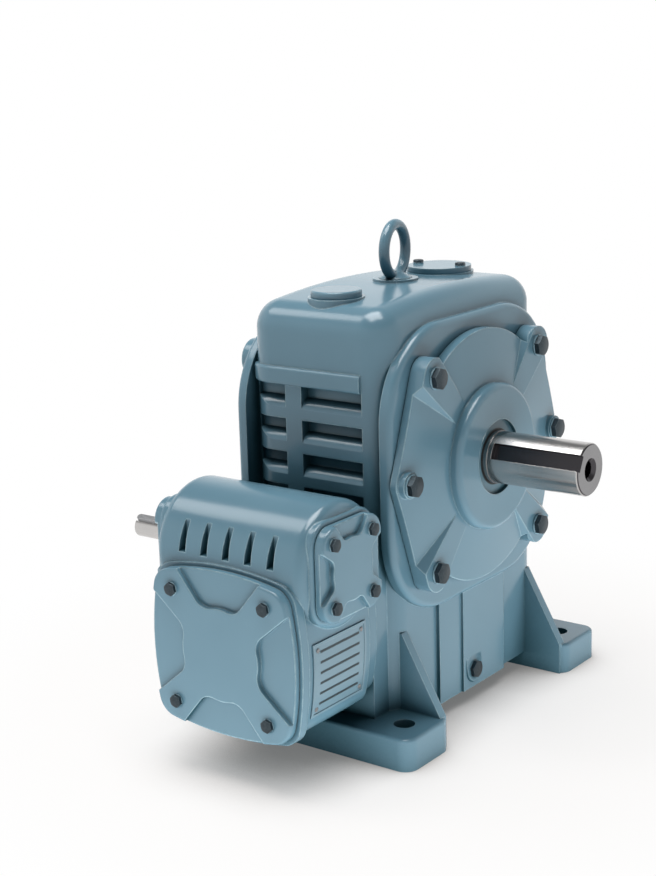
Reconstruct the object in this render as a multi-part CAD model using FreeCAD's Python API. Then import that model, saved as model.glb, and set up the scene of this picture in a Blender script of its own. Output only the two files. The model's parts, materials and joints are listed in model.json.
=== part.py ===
import FreeCAD, Part
import math
import os
from FreeCAD import Matrix, Placement, Vector

# Double worm gear reducer: a first-stage worm box bolted to the front of a
# foot-mounted second-stage casing. Millimetres, +Z up, output shaft along +X,
# first stage towards -Y, origin on the base plane at the centre of the foot bolts.

# Second-stage gear pair: worm along Y below the output axis
MODULE_2 = 5.0
STARTS_2 = 2
TEETH_2 = 38
WORM_PITCH_DIA_2 = 50.0
WORM_LENGTH_2 = 84.0
WHEEL_WIDTH_2 = 36.0

# First-stage gear pair: input worm along X above the second-stage worm shaft
MODULE_1 = 3.5
STARTS_1 = 3
TEETH_1 = 30
WORM_PITCH_DIA_1 = 35.0
WORM_LENGTH_1 = 62.0
WHEEL_WIDTH_1 = 26.0

# Tooth form shared by both pairs
PRESSURE_ANGLE = 20.0
FLANK_CLEARANCE = 0.6
DEDENDUM_FACTOR = 1.2
RIM_TIP_FACTOR = 0.5
RIM_DEPTH_FACTOR = 3.2
ROLL_RELIEF = 0.4
TIP_CLEARANCE_FACTOR = 0.25
THREAD_SINK = 0.8
GAP_STATIONS = (-1.0, -0.5, 0.0, 0.5, 1.0)

# Axes
WORM_AXIS_HEIGHT = 110.0
INPUT_SETBACK = 191.0

# Mounting feet
FOOT_LENGTH = 230.0
FOOT_SPAN = 320.0
FOOT_WIDTH = 63.0
FOOT_THICKNESS = 28.0
FOOT_CORNER_R = 12.0
FOOT_ROUND = 3.0
FOOT_BOLT_SPACING_X = 180.0
FOOT_BOLT_SPACING_Y = 260.0
FOOT_HOLE_DIA = 18.0
GUSSET_THICKNESS = 9.0
GUSSET_HEIGHT = 96.0
GUSSET_TOE_INSET = 5.0

# Second-stage casing
CASING_WIDTH = 144.0
WHEEL_CLEARANCE = 3.0
CROWN_CLEARANCE = 27.5
CROWN_DROP = 8.0
FIN_WALL = 6.5
FIN_DEPTH = 10.0
CASING_WALL = 8.0
CASING_CORNER_R = 26.0
CASING_TOP_R = 24.0
UNDERSIDE_GAP = 14.0

# Louvre fins on the front and back walls
FIN_COUNT = 4
FIN_PITCH = 29.0
FIN_POCKET_HEIGHT = 26.0
FIN_POCKET_BACK = 11.0
FIN_LIP_BULGE = 3.0
FIN_TOP_ABOVE_AXIS = 72.0
FIN_RIB_OFFSET = -22.0
FIN_RIB_WIDTH = 17.0
FIN_LEFT_INSET = 10.0
FIN_RIGHT_INSET = 24.0
FIN_BROW_HEIGHT = 15.0
FIN_BROW_PROUD = 3.0
FIN_BROW_ROUND = 2.5
FIN_BROW_END = 4.0

# Vertical panels on the lower side walls
PANEL_PROUD = 3.0
PANEL_SPLIT = -17.0
PANEL_REAR = 52.0
PANEL_FRONT = -52.0
PANEL_STEP = 2.0
DRAIN_OFFSET = 0.0
DRAIN_HEIGHT = 31.0

# Side cover seats and covers of the output shaft
SEAT_RISE = 8.0
SEAT_ROOT = 3.0
SEAT_MARGIN = 6.0
SEAT_END_MARGIN = 11.0
SEAT_CORNER_R = 77.0
SEAT_ROUND = 5.0
COVER_BORE_CLEARANCE = 1.0
COVER_BOLT_LAND = 13.5
COVER_LOBE_R = 17.0
COVER_SIDE_LOBE_R = 13.0
COVER_EDGE_R = 110.0
COVER_FLANGE = 14.5
COVER_RIM = 5.5
COVER_SIDE_PAD_RISE = 3.0
COVER_SIDE_PAD_R = 11.0
COVER_HUB_R = 63.5
COVER_HUB_PROUD = 10.0
COVER_HUB_ROUND = 5.0
COVER_HUB_DISH = 1.5
COVER_HUB_GROOVE = 2.0
COVER_ARM_ROOT = 8.0
COVER_ARM_END = 32.0
COVER_ARM_DRAFT = 0.9
COVER_ARM_SPARE = 0.5
COVER_SPIGOT = 7.0
COVER_ARM_ANGLES = (45, 135, 225, 315)
COVER_SIDE_ANGLES = (0, 180)
HUB_WALL = 12.0
POCKET_LIP = 2.0
SEAL_STEP = 3.0
BEARING_RELIEF = 3.0
SHAFT_END_RELIEF = 1.5
SEAL_RECESS = 4.0
GASKET = 0.5
SPIGOT_CLEARANCE = 0.1

# Bearings: bore, outside diameter and width
OUTPUT_BEARING_BORE = 50.0
OUTPUT_BEARING_OD = 90.0
OUTPUT_BEARING_WIDTH = 20.0
WORM_BEARING_BORE = 35.0
WORM_BEARING_OD = 72.0
WORM_BEARING_WIDTH = 17.0
SMALL_BEARING_BORE = 25.0
SMALL_BEARING_OD = 52.0
SMALL_BEARING_WIDTH = 15.0
RING_SHARE = 0.3
ROLLER_PLAY = 0.05
ROLLER_INSET = 2.0
ROLLER_FILL = 0.8

# Seals: outside diameter and width
OUTPUT_SEAL_OD = 65.0
OUTPUT_SEAL_WIDTH = 10.0
INTERSTAGE_SEAL_OD = 52.0
INTERSTAGE_SEAL_WIDTH = 8.0
INPUT_SEAL_OD = 40.0
INPUT_SEAL_WIDTH = 7.0
SEAL_RUNNING_GAP = 0.05
SEAL_LIP_SHARE = 0.3

# Output shaft and wheel centre
OUTPUT_SHAFT_DIA = 45.0
OUTPUT_SHAFT_LENGTH = 86.5
OUTPUT_SHOULDER_PROUD = 0.5
OUTPUT_SEAL_SEAT_DIA = 46.0
OUTPUT_KEYWAY_WIDTH = 14.0
OUTPUT_KEYWAY_DEPTH = 5.5
OUTPUT_KEYWAY_INSET = 4.0
KEYWAY_TURN = 27.0
OUTPUT_END_CHAMFER = 1.5
OUTPUT_CENTRE_HOLE_DIA = 14.0
OUTPUT_CENTRE_HOLE_DEPTH = 34.0
OUTPUT_CENTRE_HOLE_CHAMFER = 3.0
OUTPUT_WHEEL_SEAT_DIA = 56.0
OUTPUT_SHOULDER_DIA = 66.0
OUTPUT_HUB_LENGTH = 56.0
OUTPUT_HUB_DIA = 90.0
OUTPUT_SPACER_WALL = 6.0
OUTPUT_KEY_WIDTH = 16.0
OUTPUT_KEY_HEIGHT = 10.0
OUTPUT_KEY_LENGTH = 50.0
WHEEL_WEB = 16.0
RIM_SEAT_WALL = 9.0
KEY_SINK = 0.6

# Second-stage worm shaft and first-stage wheel
WORM_BEARING_OFFSET = 100.0
WORM_COLLAR_DIA = 45.0
WORM_RUNOUT = 6.0
WORM_BORE_WALL = 9.0
FIRST_WHEEL_SEAT_DIA = 32.0
FIRST_HUB_LENGTH = 42.0
FIRST_HUB_DIA = 54.0
FIRST_KEY_WIDTH = 10.0
FIRST_KEY_HEIGHT = 8.0
FIRST_KEY_LENGTH = 36.0
FIRST_WEB = 12.0
LOCKNUT_DIA = 50.0
LOCKNUT_WIDTH = 8.0
LOCKNUT_SLOT = 6.0
LOCKNUT_SLOT_DEPTH = 2.5
NOSE_BEARING_FLOOR = 1.5
NOSE_POCKET_WALL = 7.0

# Input worm shaft
INPUT_SHAFT_DIA = 18.0
INPUT_SHAFT_LENGTH = 40.0
INPUT_KEYWAY_WIDTH = 6.0
INPUT_KEYWAY_DEPTH = 3.5
INPUT_KEYWAY_LENGTH = 34.0
INPUT_END_CHAMFER = 1.0
INPUT_COLLAR_DIA = 32.0
INPUT_RUNOUT = 4.0
INPUT_BEARING_OFFSET = 47.0
INPUT_SHOULDER_PROUD = 4.0

# First-stage box
FIRST_WHEEL_CLEARANCE = 3.25
BOX_WALL = 8.0
BOX_BULGE = 8.0
BOX_SIDE_EXTRA = 4.0
BOX_CORNER_R = 18.0
BOX_FRONT_FROM_AXIS = 55.0
BOX_REAR_FROM_AXIS = 39.0
BOX_REAR_WALL = 30.0
SEAL_LIP_STEP = 6.0
BARREL_R = 53.0
BARREL_END_R = 9.0
BOX_SIDE_SEAT_RISE = 3.0
SIDE_SEAT_HALF = 42.5
SIDE_SEAT_R = 21.0
SIDE_SEAT_ROUND = 2.5
BARREL_OVERHANG = 2.0
SIDE_SEAT_ROOT = 12.0
FRONT_FLANGE_DEPTH = 9.0
FRONT_FLANGE_LIP = 3.0
SLIT_COUNT = 5
SLIT_PITCH = 22.5
SLIT_WIDTH = 7.0
SLIT_TOP_WIDTH = 2.5
SLIT_FLOOR_INSET = 10.0
SLIT_START = 4.0

# Joint between the two stages
JOINT_RISE = 14.0
JOINT_HALF_WIDTH = 64.0
JOINT_TOP = 196.0
JOINT_CORNER_R = 12.0
JOINT_BOLT_HALF = 34.0
JOINT_GASKET_OD = 84.0
NECK_INSET = 4.0

# Covers of the first stage and of the worm's rear end
FRONT_COVER_PLATE = 9.0
FRONT_COVER_HUB_R = 39.0
FRONT_COVER_RECESS = 4.0
FRONT_COVER_ARM_ROOT = 20.0
FRONT_COVER_ARM_END = 42.0
FRONT_COVER_BLEND_R = 14.0
FRONT_COVER_BOLT_X = 47.5
FRONT_COVER_BOLT_Z = 48.0
SIDE_COVER_HALF = 39.0
SIDE_COVER_R = 17.0
SIDE_COVER_PLATE = 8.5
SIDE_COVER_HUB_R = 26.0
SIDE_COVER_RECESS = 4.0
SIDE_COVER_ARM_ROOT = 12.0
SIDE_COVER_ARM_END = 30.0
SIDE_COVER_BLEND_R = 7.0
PLATE_ROUND = 2.0
SIDE_COVER_BOLT_HALF = 25.7
SHIM_OD = 64.0
INPUT_NOSE_R = 29.0
INPUT_NOSE_PROUD = 8.0
REAR_SEAT_RISE = 6.0
REAR_COVER_HALF = 50.0
REAR_COVER_R = 20.0
REAR_COVER_PLATE = 10.0
REAR_COVER_BOLT_HALF = 35.0
REAR_GASKET_OD = 88.0

# Bolts: thread diameter, head across flats, head height
COVER_BOLT_DIA = 10.0
FRONT_BOLT_DIA = 6.0
SIDE_BOLT_DIA = 6.0
HEAD_FLATS_FACTOR = 1.65
HEAD_HEIGHT_FACTOR = 0.65
BOLT_REACH_FACTOR = 1.2
BOLT_HOLE_CLEARANCE = 0.3
BOLT_HOLE_SPARE = 2.0

# Fittings on the top and the drain
EYE_OUTER_DIA = 54.0
EYE_INNER_DIA = 35.0
EYE_HEIGHT = 51.0
EYE_TURN = 10.0
EYE_COLLAR_DIA = 30.0
EYE_COLLAR = 6.0
EYE_SHANK_DIA = 12.0
EYE_SHANK_LENGTH = 20.0
EYE_PAD_DIA = 40.0
TOP_PAD_RISE = 2.0
BREATHER_OFFSET = 87.0
HATCH_OFFSET = 70.0
BREATHER_PAD_DIA = 48.0
BREATHER_CAP_DIA = 43.0
BREATHER_CAP_HEIGHT = 6.0
BREATHER_CAP_ROUND = 2.0
BREATHER_PLUG_DIA = 24.0
BREATHER_PLUG_LENGTH = 14.0
HATCH_PAD_DIA = 62.0
HATCH_DIA = 58.0
HATCH_THICKNESS = 5.0
HATCH_OPENING_DIA = 34.0
HATCH_SCREW_OFFSET = 22.5
HATCH_SCREW_DIA = 5.0
DRAIN_PLUG_DIA = 12.0
DRAIN_PLUG_LENGTH = 14.0
DRAIN_HEAD_FLATS = 14.0
DRAIN_HEAD_HEIGHT = 5.0

FIT = 0.01
THROUGH = 400.0
TAN_PRESSURE = math.tan(math.radians(PRESSURE_ANGLE))
UP = Vector(0, 0, 1)


class WormPair:
    """Sizes of one worm and worm wheel, worked out from module, starts and teeth."""

    def __init__(self, module, starts, teeth, worm_dia, worm_length, width):
        self.module = module
        self.starts = starts
        self.teeth = teeth
        self.worm_r = worm_dia / 2
        self.worm_length = worm_length
        self.width = width
        self.wheel_r = module * teeth / 2
        self.centre = self.worm_r + self.wheel_r
        self.lead = math.pi * module * starts
        self.worm_tip = self.worm_r + module
        self.worm_root = self.worm_r - DEDENDUM_FACTOR * module
        self.throat = self.wheel_r + module
        self.outer = self.throat + RIM_TIP_FACTOR * module
        self.rim_bore = self.wheel_r - RIM_DEPTH_FACTOR * module


class Bearing:
    """Bore, outside and ring radii of one rolling bearing."""

    def __init__(self, bore, outside, width):
        self.bore = bore / 2
        self.outside = outside / 2
        self.width = width
        ring_wall = (self.outside - self.bore) * RING_SHARE
        self.inner_land = self.bore + ring_wall
        self.outer_land = self.outside - ring_wall


class Station:
    """A local frame: z along the given direction and y up, for pieces on one axis."""

    def __init__(self, base, direction):
        side = UP.cross(direction)
        rows = [(side[i], UP[i], direction[i], base[i]) for i in range(3)]
        self.placement = Placement(Matrix(*rows[0], *rows[1], *rows[2], 0, 0, 0, 1))

    def put(self, shape):
        moved = shape.copy()
        moved.Placement = self.placement.multiply(moved.Placement)
        return moved


pair_2 = WormPair(MODULE_2, STARTS_2, TEETH_2, WORM_PITCH_DIA_2, WORM_LENGTH_2, WHEEL_WIDTH_2)
pair_1 = WormPair(MODULE_1, STARTS_1, TEETH_1, WORM_PITCH_DIA_1, WORM_LENGTH_1, WHEEL_WIDTH_1)
output_bearing = Bearing(OUTPUT_BEARING_BORE, OUTPUT_BEARING_OD, OUTPUT_BEARING_WIDTH)
worm_bearing = Bearing(WORM_BEARING_BORE, WORM_BEARING_OD, WORM_BEARING_WIDTH)
small_bearing = Bearing(SMALL_BEARING_BORE, SMALL_BEARING_OD, SMALL_BEARING_WIDTH)

# Axes of the three shafts, each seen from the end that its name says
output_height = WORM_AXIS_HEIGHT + pair_2.centre
input_height = WORM_AXIS_HEIGHT + pair_1.centre
output_axis = Station(Vector(0, 0, output_height), Vector(1, 0, 0))
blind_axis = Station(Vector(0, 0, output_height), Vector(-1, 0, 0))
worm_axis = Station(Vector(0, 0, WORM_AXIS_HEIGHT), Vector(0, -1, 0))
rear_axis = Station(Vector(0, 0, WORM_AXIS_HEIGHT), Vector(0, 1, 0))
tail_axis = Station(Vector(0, -INPUT_SETBACK, input_height), Vector(1, 0, 0))
drive_axis = Station(Vector(0, -INPUT_SETBACK, input_height), Vector(-1, 0, 0))

# Limits of the second-stage casing and its covers
cavity_half_length = pair_2.outer + WHEEL_CLEARANCE
casing_half_length = cavity_half_length + FIN_WALL + FIN_DEPTH
casing_half_width = CASING_WIDTH / 2
cavity_top = output_height + pair_2.outer + CROWN_CLEARANCE
casing_top = cavity_top + CASING_WALL + CROWN_DROP
crown_r = (casing_half_length ** 2 + CROWN_DROP ** 2) / (2 * CROWN_DROP)
fin_top = output_height + FIN_TOP_ABOVE_AXIS
fin_left = FIN_LEFT_INSET - casing_half_width
fin_right = casing_half_width - FIN_RIGHT_INSET
panel_face = casing_half_width + PANEL_PROUD
drain_face = panel_face + PANEL_STEP
drain_axis = Station(Vector(0, DRAIN_OFFSET, DRAIN_HEIGHT), Vector(1, 0, 0))
seat_plane = casing_half_width + SEAT_RISE
cover_plane = seat_plane + GASKET
cover_face = COVER_FLANGE + COVER_HUB_PROUD
cover_bore = pair_2.outer + COVER_BORE_CLEARANCE
cover_bolt_r = cover_bore + COVER_BOLT_LAND
seat_half = cover_bolt_r + SEAT_MARGIN
seat_half_length = cover_bolt_r + SEAT_END_MARGIN
hub_face = cover_plane + cover_face
cover_reach = cover_bolt_r + COVER_LOBE_R
field_start = COVER_HUB_R + COVER_HUB_GROOVE
field_fall = (COVER_FLANGE - COVER_RIM) / (cover_reach - field_start)
pad_edge = cover_bolt_r - COVER_SIDE_PAD_R
side_pad = COVER_FLANGE - field_fall * (pad_edge - field_start) + COVER_SIDE_PAD_RISE
output_shoulder = hub_face + OUTPUT_SHOULDER_PROUD
output_collar = cover_plane - output_bearing.width

# Distances along the worm axis, counted forwards from the output axis
joint_plane = casing_half_length + JOINT_RISE
box_rear = joint_plane + GASKET
box_floor = box_rear + BOX_REAR_WALL
box_front = INPUT_SETBACK + BOX_FRONT_FROM_AXIS
neck_end = INPUT_SETBACK - BOX_REAR_FROM_AXIS
front_cover_plane = box_front + GASKET
rear_plane = casing_half_length + REAR_SEAT_RISE
rear_cover_plane = rear_plane + GASKET
worm_bearing_end = WORM_BEARING_OFFSET + worm_bearing.width
nose_bearing_end = front_cover_plane - NOSE_BEARING_FLOOR
nose_bearing_start = nose_bearing_end - small_bearing.width
first_hub_start = INPUT_SETBACK - FIRST_HUB_LENGTH / 2
first_hub_end = INPUT_SETBACK + FIRST_HUB_LENGTH / 2
interstage_seal_end = box_floor - SEAL_LIP_STEP

# Sections of the first-stage box and distances along its input axis
box_bore = pair_1.outer + FIRST_WHEEL_CLEARANCE
box_half = box_bore + BOX_WALL
box_half_width = box_half + BOX_SIDE_EXTRA
barrel_half = box_half_width + BARREL_OVERHANG
side_plane = barrel_half + BOX_SIDE_SEAT_RISE
side_cover_plane = side_plane + GASKET
input_bearing_end = INPUT_BEARING_OFFSET + small_bearing.width
input_nose = SIDE_COVER_PLATE + INPUT_NOSE_PROUD
input_shoulder = side_cover_plane + input_nose + INPUT_SHOULDER_PROUD


def corner_places(half_x, half_y):
    return [(sx * half_x, sy * half_y) for sx in (1, -1) for sy in (1, -1)]


def on_circle(radius, angle):
    turn = math.radians(angle)
    return radius * math.cos(turn), radius * math.sin(turn)


def pad_level(y):
    """Height of a flat pad that just clears the crowned top at one place along it."""
    return casing_top - crown_r + math.sqrt(crown_r ** 2 - y ** 2) + TOP_PAD_RISE


# Heights of the three pads on the crowned top
eye_level = pad_level(0)
breather_level = pad_level(BREATHER_OFFSET)
hatch_level = pad_level(HATCH_OFFSET)

# Places of the bolts on each cover
cover_arm_places = [on_circle(cover_bolt_r, angle) for angle in COVER_ARM_ANGLES]
cover_side_places = [on_circle(cover_bolt_r, angle) for angle in COVER_SIDE_ANGLES]
joint_places = corner_places(JOINT_BOLT_HALF, JOINT_BOLT_HALF)
front_places = corner_places(FRONT_COVER_BOLT_X, FRONT_COVER_BOLT_Z)
side_places = corner_places(SIDE_COVER_BOLT_HALF, SIDE_COVER_BOLT_HALF)
rear_places = corner_places(REAR_COVER_BOLT_HALF, REAR_COVER_BOLT_HALF)
hatch_places = [(-HATCH_SCREW_OFFSET, HATCH_OFFSET), (HATCH_SCREW_OFFSET, HATCH_OFFSET)]
foot_places = corner_places(FOOT_BOLT_SPACING_X / 2, FOOT_BOLT_SPACING_Y / 2)


def polygon(points):
    corners = [Vector(*point) for point in points]
    return Part.makePolygon(corners + corners[:1])


def disc(radius, start, end, x=0.0, y=0.0):
    return Part.makeCylinder(radius, end - start, Vector(x, y, start))


def ring(outer, inner, start, end):
    return disc(outer, start, end).cut(disc(inner, start, end))


def block(x0, x1, y0, y1, z0, z1):
    return Part.makeBox(x1 - x0, y1 - y0, z1 - z0, Vector(x0, y0, z0))


def prism(wire, start, end):
    face = Part.Face(wire)
    face.translate(UP * start)
    return face.extrude(UP * (end - start))


def turned(outline):
    """Solid of revolution about z from (height, radius) corners."""
    face = Part.Face(polygon([(radius, 0, height) for height, radius in outline]))
    return face.revolve(Vector(0, 0, 0), UP, 360)


def stepped(start, steps):
    """Shaft along z from (end height, radius) steps."""
    outline = [(start, 0)]
    for end, radius in steps:
        outline += [(start, radius), (end, radius)]
        start = end
    return turned(outline + [(start, 0)])


def spun(shape, angle):
    copy = shape.copy()
    copy.rotate(Vector(0, 0, 0), UP, angle)
    return copy


def rounded(shape, radius, direction):
    """Round the straight edges of a plain solid that run along one direction."""
    edges = []
    for edge in shape.Edges:
        first, last = edge.Vertexes[0].Point, edge.Vertexes[-1].Point
        straight = abs(edge.Length - first.distanceToPoint(last)) < FIT
        if straight and abs(last.sub(first).dot(direction)) > edge.Length * 0.999:
            edges.append(edge)
    return shape.makeFillet(radius, edges)


def round_end(shape, radius, height):
    """Round the edge loop of a solid that lies at one z height."""
    edges = []
    for edge in shape.Edges:
        if edge.BoundBox.ZMin > height - FIT and edge.BoundBox.ZMax < height + FIT:
            edges.append(edge)
    return shape.makeFillet(radius, edges)


def round_plate(half_x, half_y, corner_r, start, end):
    return rounded(block(-half_x, half_x, -half_y, half_y, start, end), corner_r, UP)


def square_plate(half, corner_r, start, end):
    return round_plate(half, half, corner_r, start, end)


def bulged_plate(half_x, half_y, start, end):
    """Rectangle with outward-curved sides and rounded corners."""
    corners = corner_places(half_x - BOX_BULGE, half_y - BOX_BULGE)
    loop = [corners[1], corners[0], corners[2], corners[3]]
    middles = [(half_x, 0), (0, half_y), (-half_x, 0), (0, -half_y)]
    arcs = []
    for index, middle in enumerate(middles):
        first = Vector(*loop[index])
        last = Vector(*loop[(index + 1) % 4])
        arcs.append(Part.Arc(first, Vector(*middle), last).toShape())
    return rounded(prism(Part.Wire(arcs), start, end), BOX_CORNER_R, UP)


def hexagon(flats, start, end, x=0.0, y=0.0):
    corners = [on_circle(flats / math.sqrt(3), 60 * k) for k in range(6)]
    return prism(polygon([(x + dx, y + dy, 0) for dx, dy in corners]), start, end)


def bolt_reach(dia):
    return dia * BOLT_REACH_FACTOR


def bolts(dia, seat, places):
    """Hex bolts with heads on the seat height, reaching a set depth past local zero."""
    solids = []
    for x, y in places:
        head = hexagon(dia * HEAD_FLATS_FACTOR, seat, seat + dia * HEAD_HEIGHT_FACTOR, x, y)
        solids.append(head.fuse(disc(dia / 2, -GASKET - bolt_reach(dia), seat, x, y)))
    return solids


def clear_holes(dia, start, end, places):
    radius = dia / 2 + BOLT_HOLE_CLEARANCE
    return [disc(radius, start, end, x, y) for x, y in places]


def blind_holes(dia, seat, places):
    return clear_holes(dia, seat - bolt_reach(dia) - BOLT_HOLE_SPARE, seat, places)


def outer_ring(bearing, start):
    return ring(bearing.outside, bearing.outer_land, start, start + bearing.width)


def inner_ring(bearing, start):
    return ring(bearing.inner_land, bearing.bore, start, start + bearing.width)


def rollers(bearing, axis, start):
    """Rolling elements set evenly between the two rings, as if held by a cage."""
    radius = (bearing.outer_land - bearing.inner_land) / 2 - ROLLER_PLAY
    pitch = (bearing.outer_land + bearing.inner_land) / 2
    count = int(math.pi / math.asin(radius / pitch) * ROLLER_FILL)
    low = start + ROLLER_INSET
    high = start + bearing.width - ROLLER_INSET
    places = [on_circle(pitch, 360 * k / count) for k in range(count)]
    return [axis.put(disc(radius, low, high, x, y)) for x, y in places]


def lip_seal(outside, shaft_r, start, width):
    """Oil seal: a full outer case and a thin lip that runs close to the shaft."""
    case = outside / 2
    lip = shaft_r + SEAL_RUNNING_GAP
    middle = (case + lip) / 2
    back = start + width
    throat = back - width * SEAL_LIP_SHARE
    face = start + width * SEAL_LIP_SHARE
    outline = [(start, case), (back, case), (back, lip), (throat, lip), (face, middle), (start, middle)]
    return turned(outline)


def thread_starts(pair):
    """Trapezoid worm threads, flush at both ends, one solid for each start."""
    run = pair.worm_length + 2 * math.pi * pair.module
    half = math.pi * pair.module / 4
    base = pair.worm_root - THREAD_SINK
    foot = half + (pair.worm_r - base) * TAN_PRESSURE
    crest = half - pair.module * TAN_PRESSURE
    section = [(base, -foot), (pair.worm_tip, -crest), (pair.worm_tip, crest), (base, foot)]
    profile = polygon([(radius, 0, height) for radius, height in section])
    helix = Part.makeHelix(pair.lead, run, pair.worm_r)
    thread = Part.Wire(helix.Edges).makePipeShell([profile], True, True)
    thread.translate(UP * (-run / 2))
    phase = 90 - 180 * run / pair.lead
    end = pair.worm_length / 2
    trim = disc(pair.worm_tip * 2, -end, end)
    return [spun(thread, phase + 360 * k / pair.starts).common(trim) for k in range(pair.starts)]


def tooth_gap(pair):
    """Space between two wheel teeth: sections follow the worm's helicoid across the face."""
    reach = pair.width / 2 + pair.module / 4
    root_r = pair.worm_tip + TIP_CLEARANCE_FACTOR * pair.module
    top = pair.outer + pair.module / 4
    wires = []
    for share in GAP_STATIONS:
        side = share * reach
        bottom = pair.centre - math.sqrt(root_r ** 2 - side ** 2)
        middle = max(pair.wheel_r, (bottom + top) / 2)
        left = []
        right = []
        for radius in (bottom, middle, top):
            height = pair.centre - radius
            worm_radius = math.hypot(height, side)
            shift = -pair.lead / (2 * math.pi) * math.atan2(side, height)
            half = math.pi * pair.module / 4 - (worm_radius - pair.worm_r) * TAN_PRESSURE
            relief = (radius - pair.wheel_r) ** 2 / (pair.wheel_r * ROLL_RELIEF)
            half = half + FLANK_CLEARANCE + relief
            left.append((shift - half, radius, side))
            right.append((shift + half, radius, side))
        wires.append(polygon(left + right[::-1]))
    return Part.makeLoft(wires, True, False)


def wheel_rim(pair):
    """Throated bronze rim with slanted teeth; one gap points along local +y."""
    half = pair.width / 2
    blank = ring(pair.outer, pair.rim_bore, -half, half)
    blank = blank.cut(Part.makeTorus(pair.centre, pair.centre - pair.throat))
    gap = tooth_gap(pair)
    return blank.cut([spun(gap, 360 * k / pair.teeth) for k in range(pair.teeth)])


def wheel_centre(pair, bore, hub_dia, hub_length, web):
    """Cast centre: hub, web and the seat that the rim is pressed on."""
    seat = pair.rim_bore - FIT
    inner = seat - RIM_SEAT_WALL
    half_rim = pair.width / 2
    half_hub = hub_length / 2
    hub = hub_dia / 2
    half_web = web / 2
    one_side = [(half_hub, bore), (half_hub, hub), (half_web, hub), (half_web, inner)]
    one_side += [(half_rim, inner), (half_rim, seat)]
    other_side = [(-height, radius) for height, radius in reversed(one_side)]
    return turned(one_side + other_side)


def key_bar(width, height, length, shaft_r):
    """Parallel key in a hub, sunk into the shaft along local +y."""
    bottom = shaft_r - height * KEY_SINK
    return block(-width / 2, width / 2, bottom, bottom + height, -length / 2, length / 2)


def arms(root, end, reach, low, high, draft=0.0):
    """Four corner arms that widen from the centre outwards, with sides that may slope."""
    wires = []
    for height, spread in ((low, draft * (high - low)), (high, 0)):
        near = root / 2 + spread
        far = end / 2 + spread
        outline = [(0, -near), (reach, -far), (reach, far), (0, near)]
        wires.append(polygon([(x, y, height) for x, y in outline]))
    arm = Part.makeLoft(wires, True, True)
    return [spun(arm, angle) for angle in COVER_ARM_ANGLES]


def spider_plate(plate, hub_r, arm_root, arm_end, blend_r, top, recess):
    """Sink the fields between a round hub and its four corner arms into a plate."""
    low = top - recess
    high = top + recess
    reach = plate.BoundBox.DiagonalLength / 2
    keep = disc(hub_r, low, high).fuse(arms(arm_root, arm_end, reach, low, high))
    keep = rounded(keep.removeSplitter(), blend_r, UP)
    return plate.cut(block(-reach, reach, -reach, reach, low, high).cut(keep))


def save(name, axis, *solids):
    shape = solids[0] if len(solids) == 1 else Part.makeCompound(list(solids))
    if axis is not None:
        shape = axis.put(shape)
    shape.exportStep("parts/" + name + ".step")


# Second-stage casing

def feet():
    plates = []
    half = FOOT_LENGTH / 2
    toe = half - GUSSET_TOE_INSET
    inner = FOOT_SPAN / 2 - FOOT_WIDTH
    for side in (-1, 1):
        near, far = sorted((side * inner, side * FOOT_SPAN / 2))
        plate = block(-half, half, near, far, 0, FOOT_THICKNESS)
        plates.append(round_end(rounded(plate, FOOT_CORNER_R, UP), FOOT_ROUND, FOOT_THICKNESS))
        outline = [(toe, 0), (toe, FOOT_THICKNESS), (casing_half_width, GUSSET_HEIGHT)]
        outline += [(-x, z) for x, z in reversed(outline)]
        web = Part.Face(polygon([(x, side * inner, z) for x, z in outline]))
        plates.append(web.extrude(Vector(0, side * GUSSET_THICKNESS, 0)))
    return plates


def side_panels():
    """Upright strips on the lower side walls; the drain plug sits in the prouder one."""
    panels = []
    root = casing_half_width - SEAT_ROOT
    high = output_height - cover_bore
    strips = ((PANEL_FRONT, PANEL_SPLIT, panel_face), (PANEL_SPLIT, PANEL_REAR, drain_face))
    for side in (-1, 1):
        for y0, y1, face in strips:
            x0, x1 = sorted((side * root, side * face))
            panels.append(block(x0, x1, y0, y1, UNDERSIDE_GAP, high))
    return panels


def top_pads():
    pads = [(BREATHER_PAD_DIA, -BREATHER_OFFSET), (EYE_PAD_DIA, 0), (HATCH_PAD_DIA, HATCH_OFFSET)]
    return [disc(dia / 2, cavity_top, pad_level(y), 0, y) for dia, y in pads]


def fin_pockets(side):
    """Pockets that leave louvre fins with round lips on one end wall, split by an upright rib."""
    face = casing_half_length
    proud = face + FIN_DEPTH
    back = face - FIN_DEPTH
    rib_left = FIN_RIB_OFFSET - FIN_RIB_WIDTH / 2
    rib_right = FIN_RIB_OFFSET + FIN_RIB_WIDTH / 2
    pockets = []
    for index in range(FIN_COUNT):
        top = fin_top - index * FIN_PITCH
        low = top - FIN_POCKET_HEIGHT
        heel = top - FIN_POCKET_BACK
        lip = (face + back) / 2 + FIN_LIP_BULGE, (heel + low) / 2 + FIN_LIP_BULGE
        corners = [Vector(0, side * y, z) for y, z in
                   ((face, low), (proud, low), (proud, top), (back, top), (back, heel), lip)]
        edges = [Part.makeLine(corners[k], corners[k + 1]) for k in range(4)]
        edges.append(Part.Arc(corners[4], corners[5], corners[0]).toShape())
        section = Part.Face(Part.Wire(edges))
        for x0, x1 in ((fin_left, rib_left), (rib_right, fin_right)):
            pocket = section.extrude(Vector(x1 - x0, 0, 0))
            pocket.translate(Vector(x0, 0, 0))
            pockets.append(pocket)
    return pockets


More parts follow.
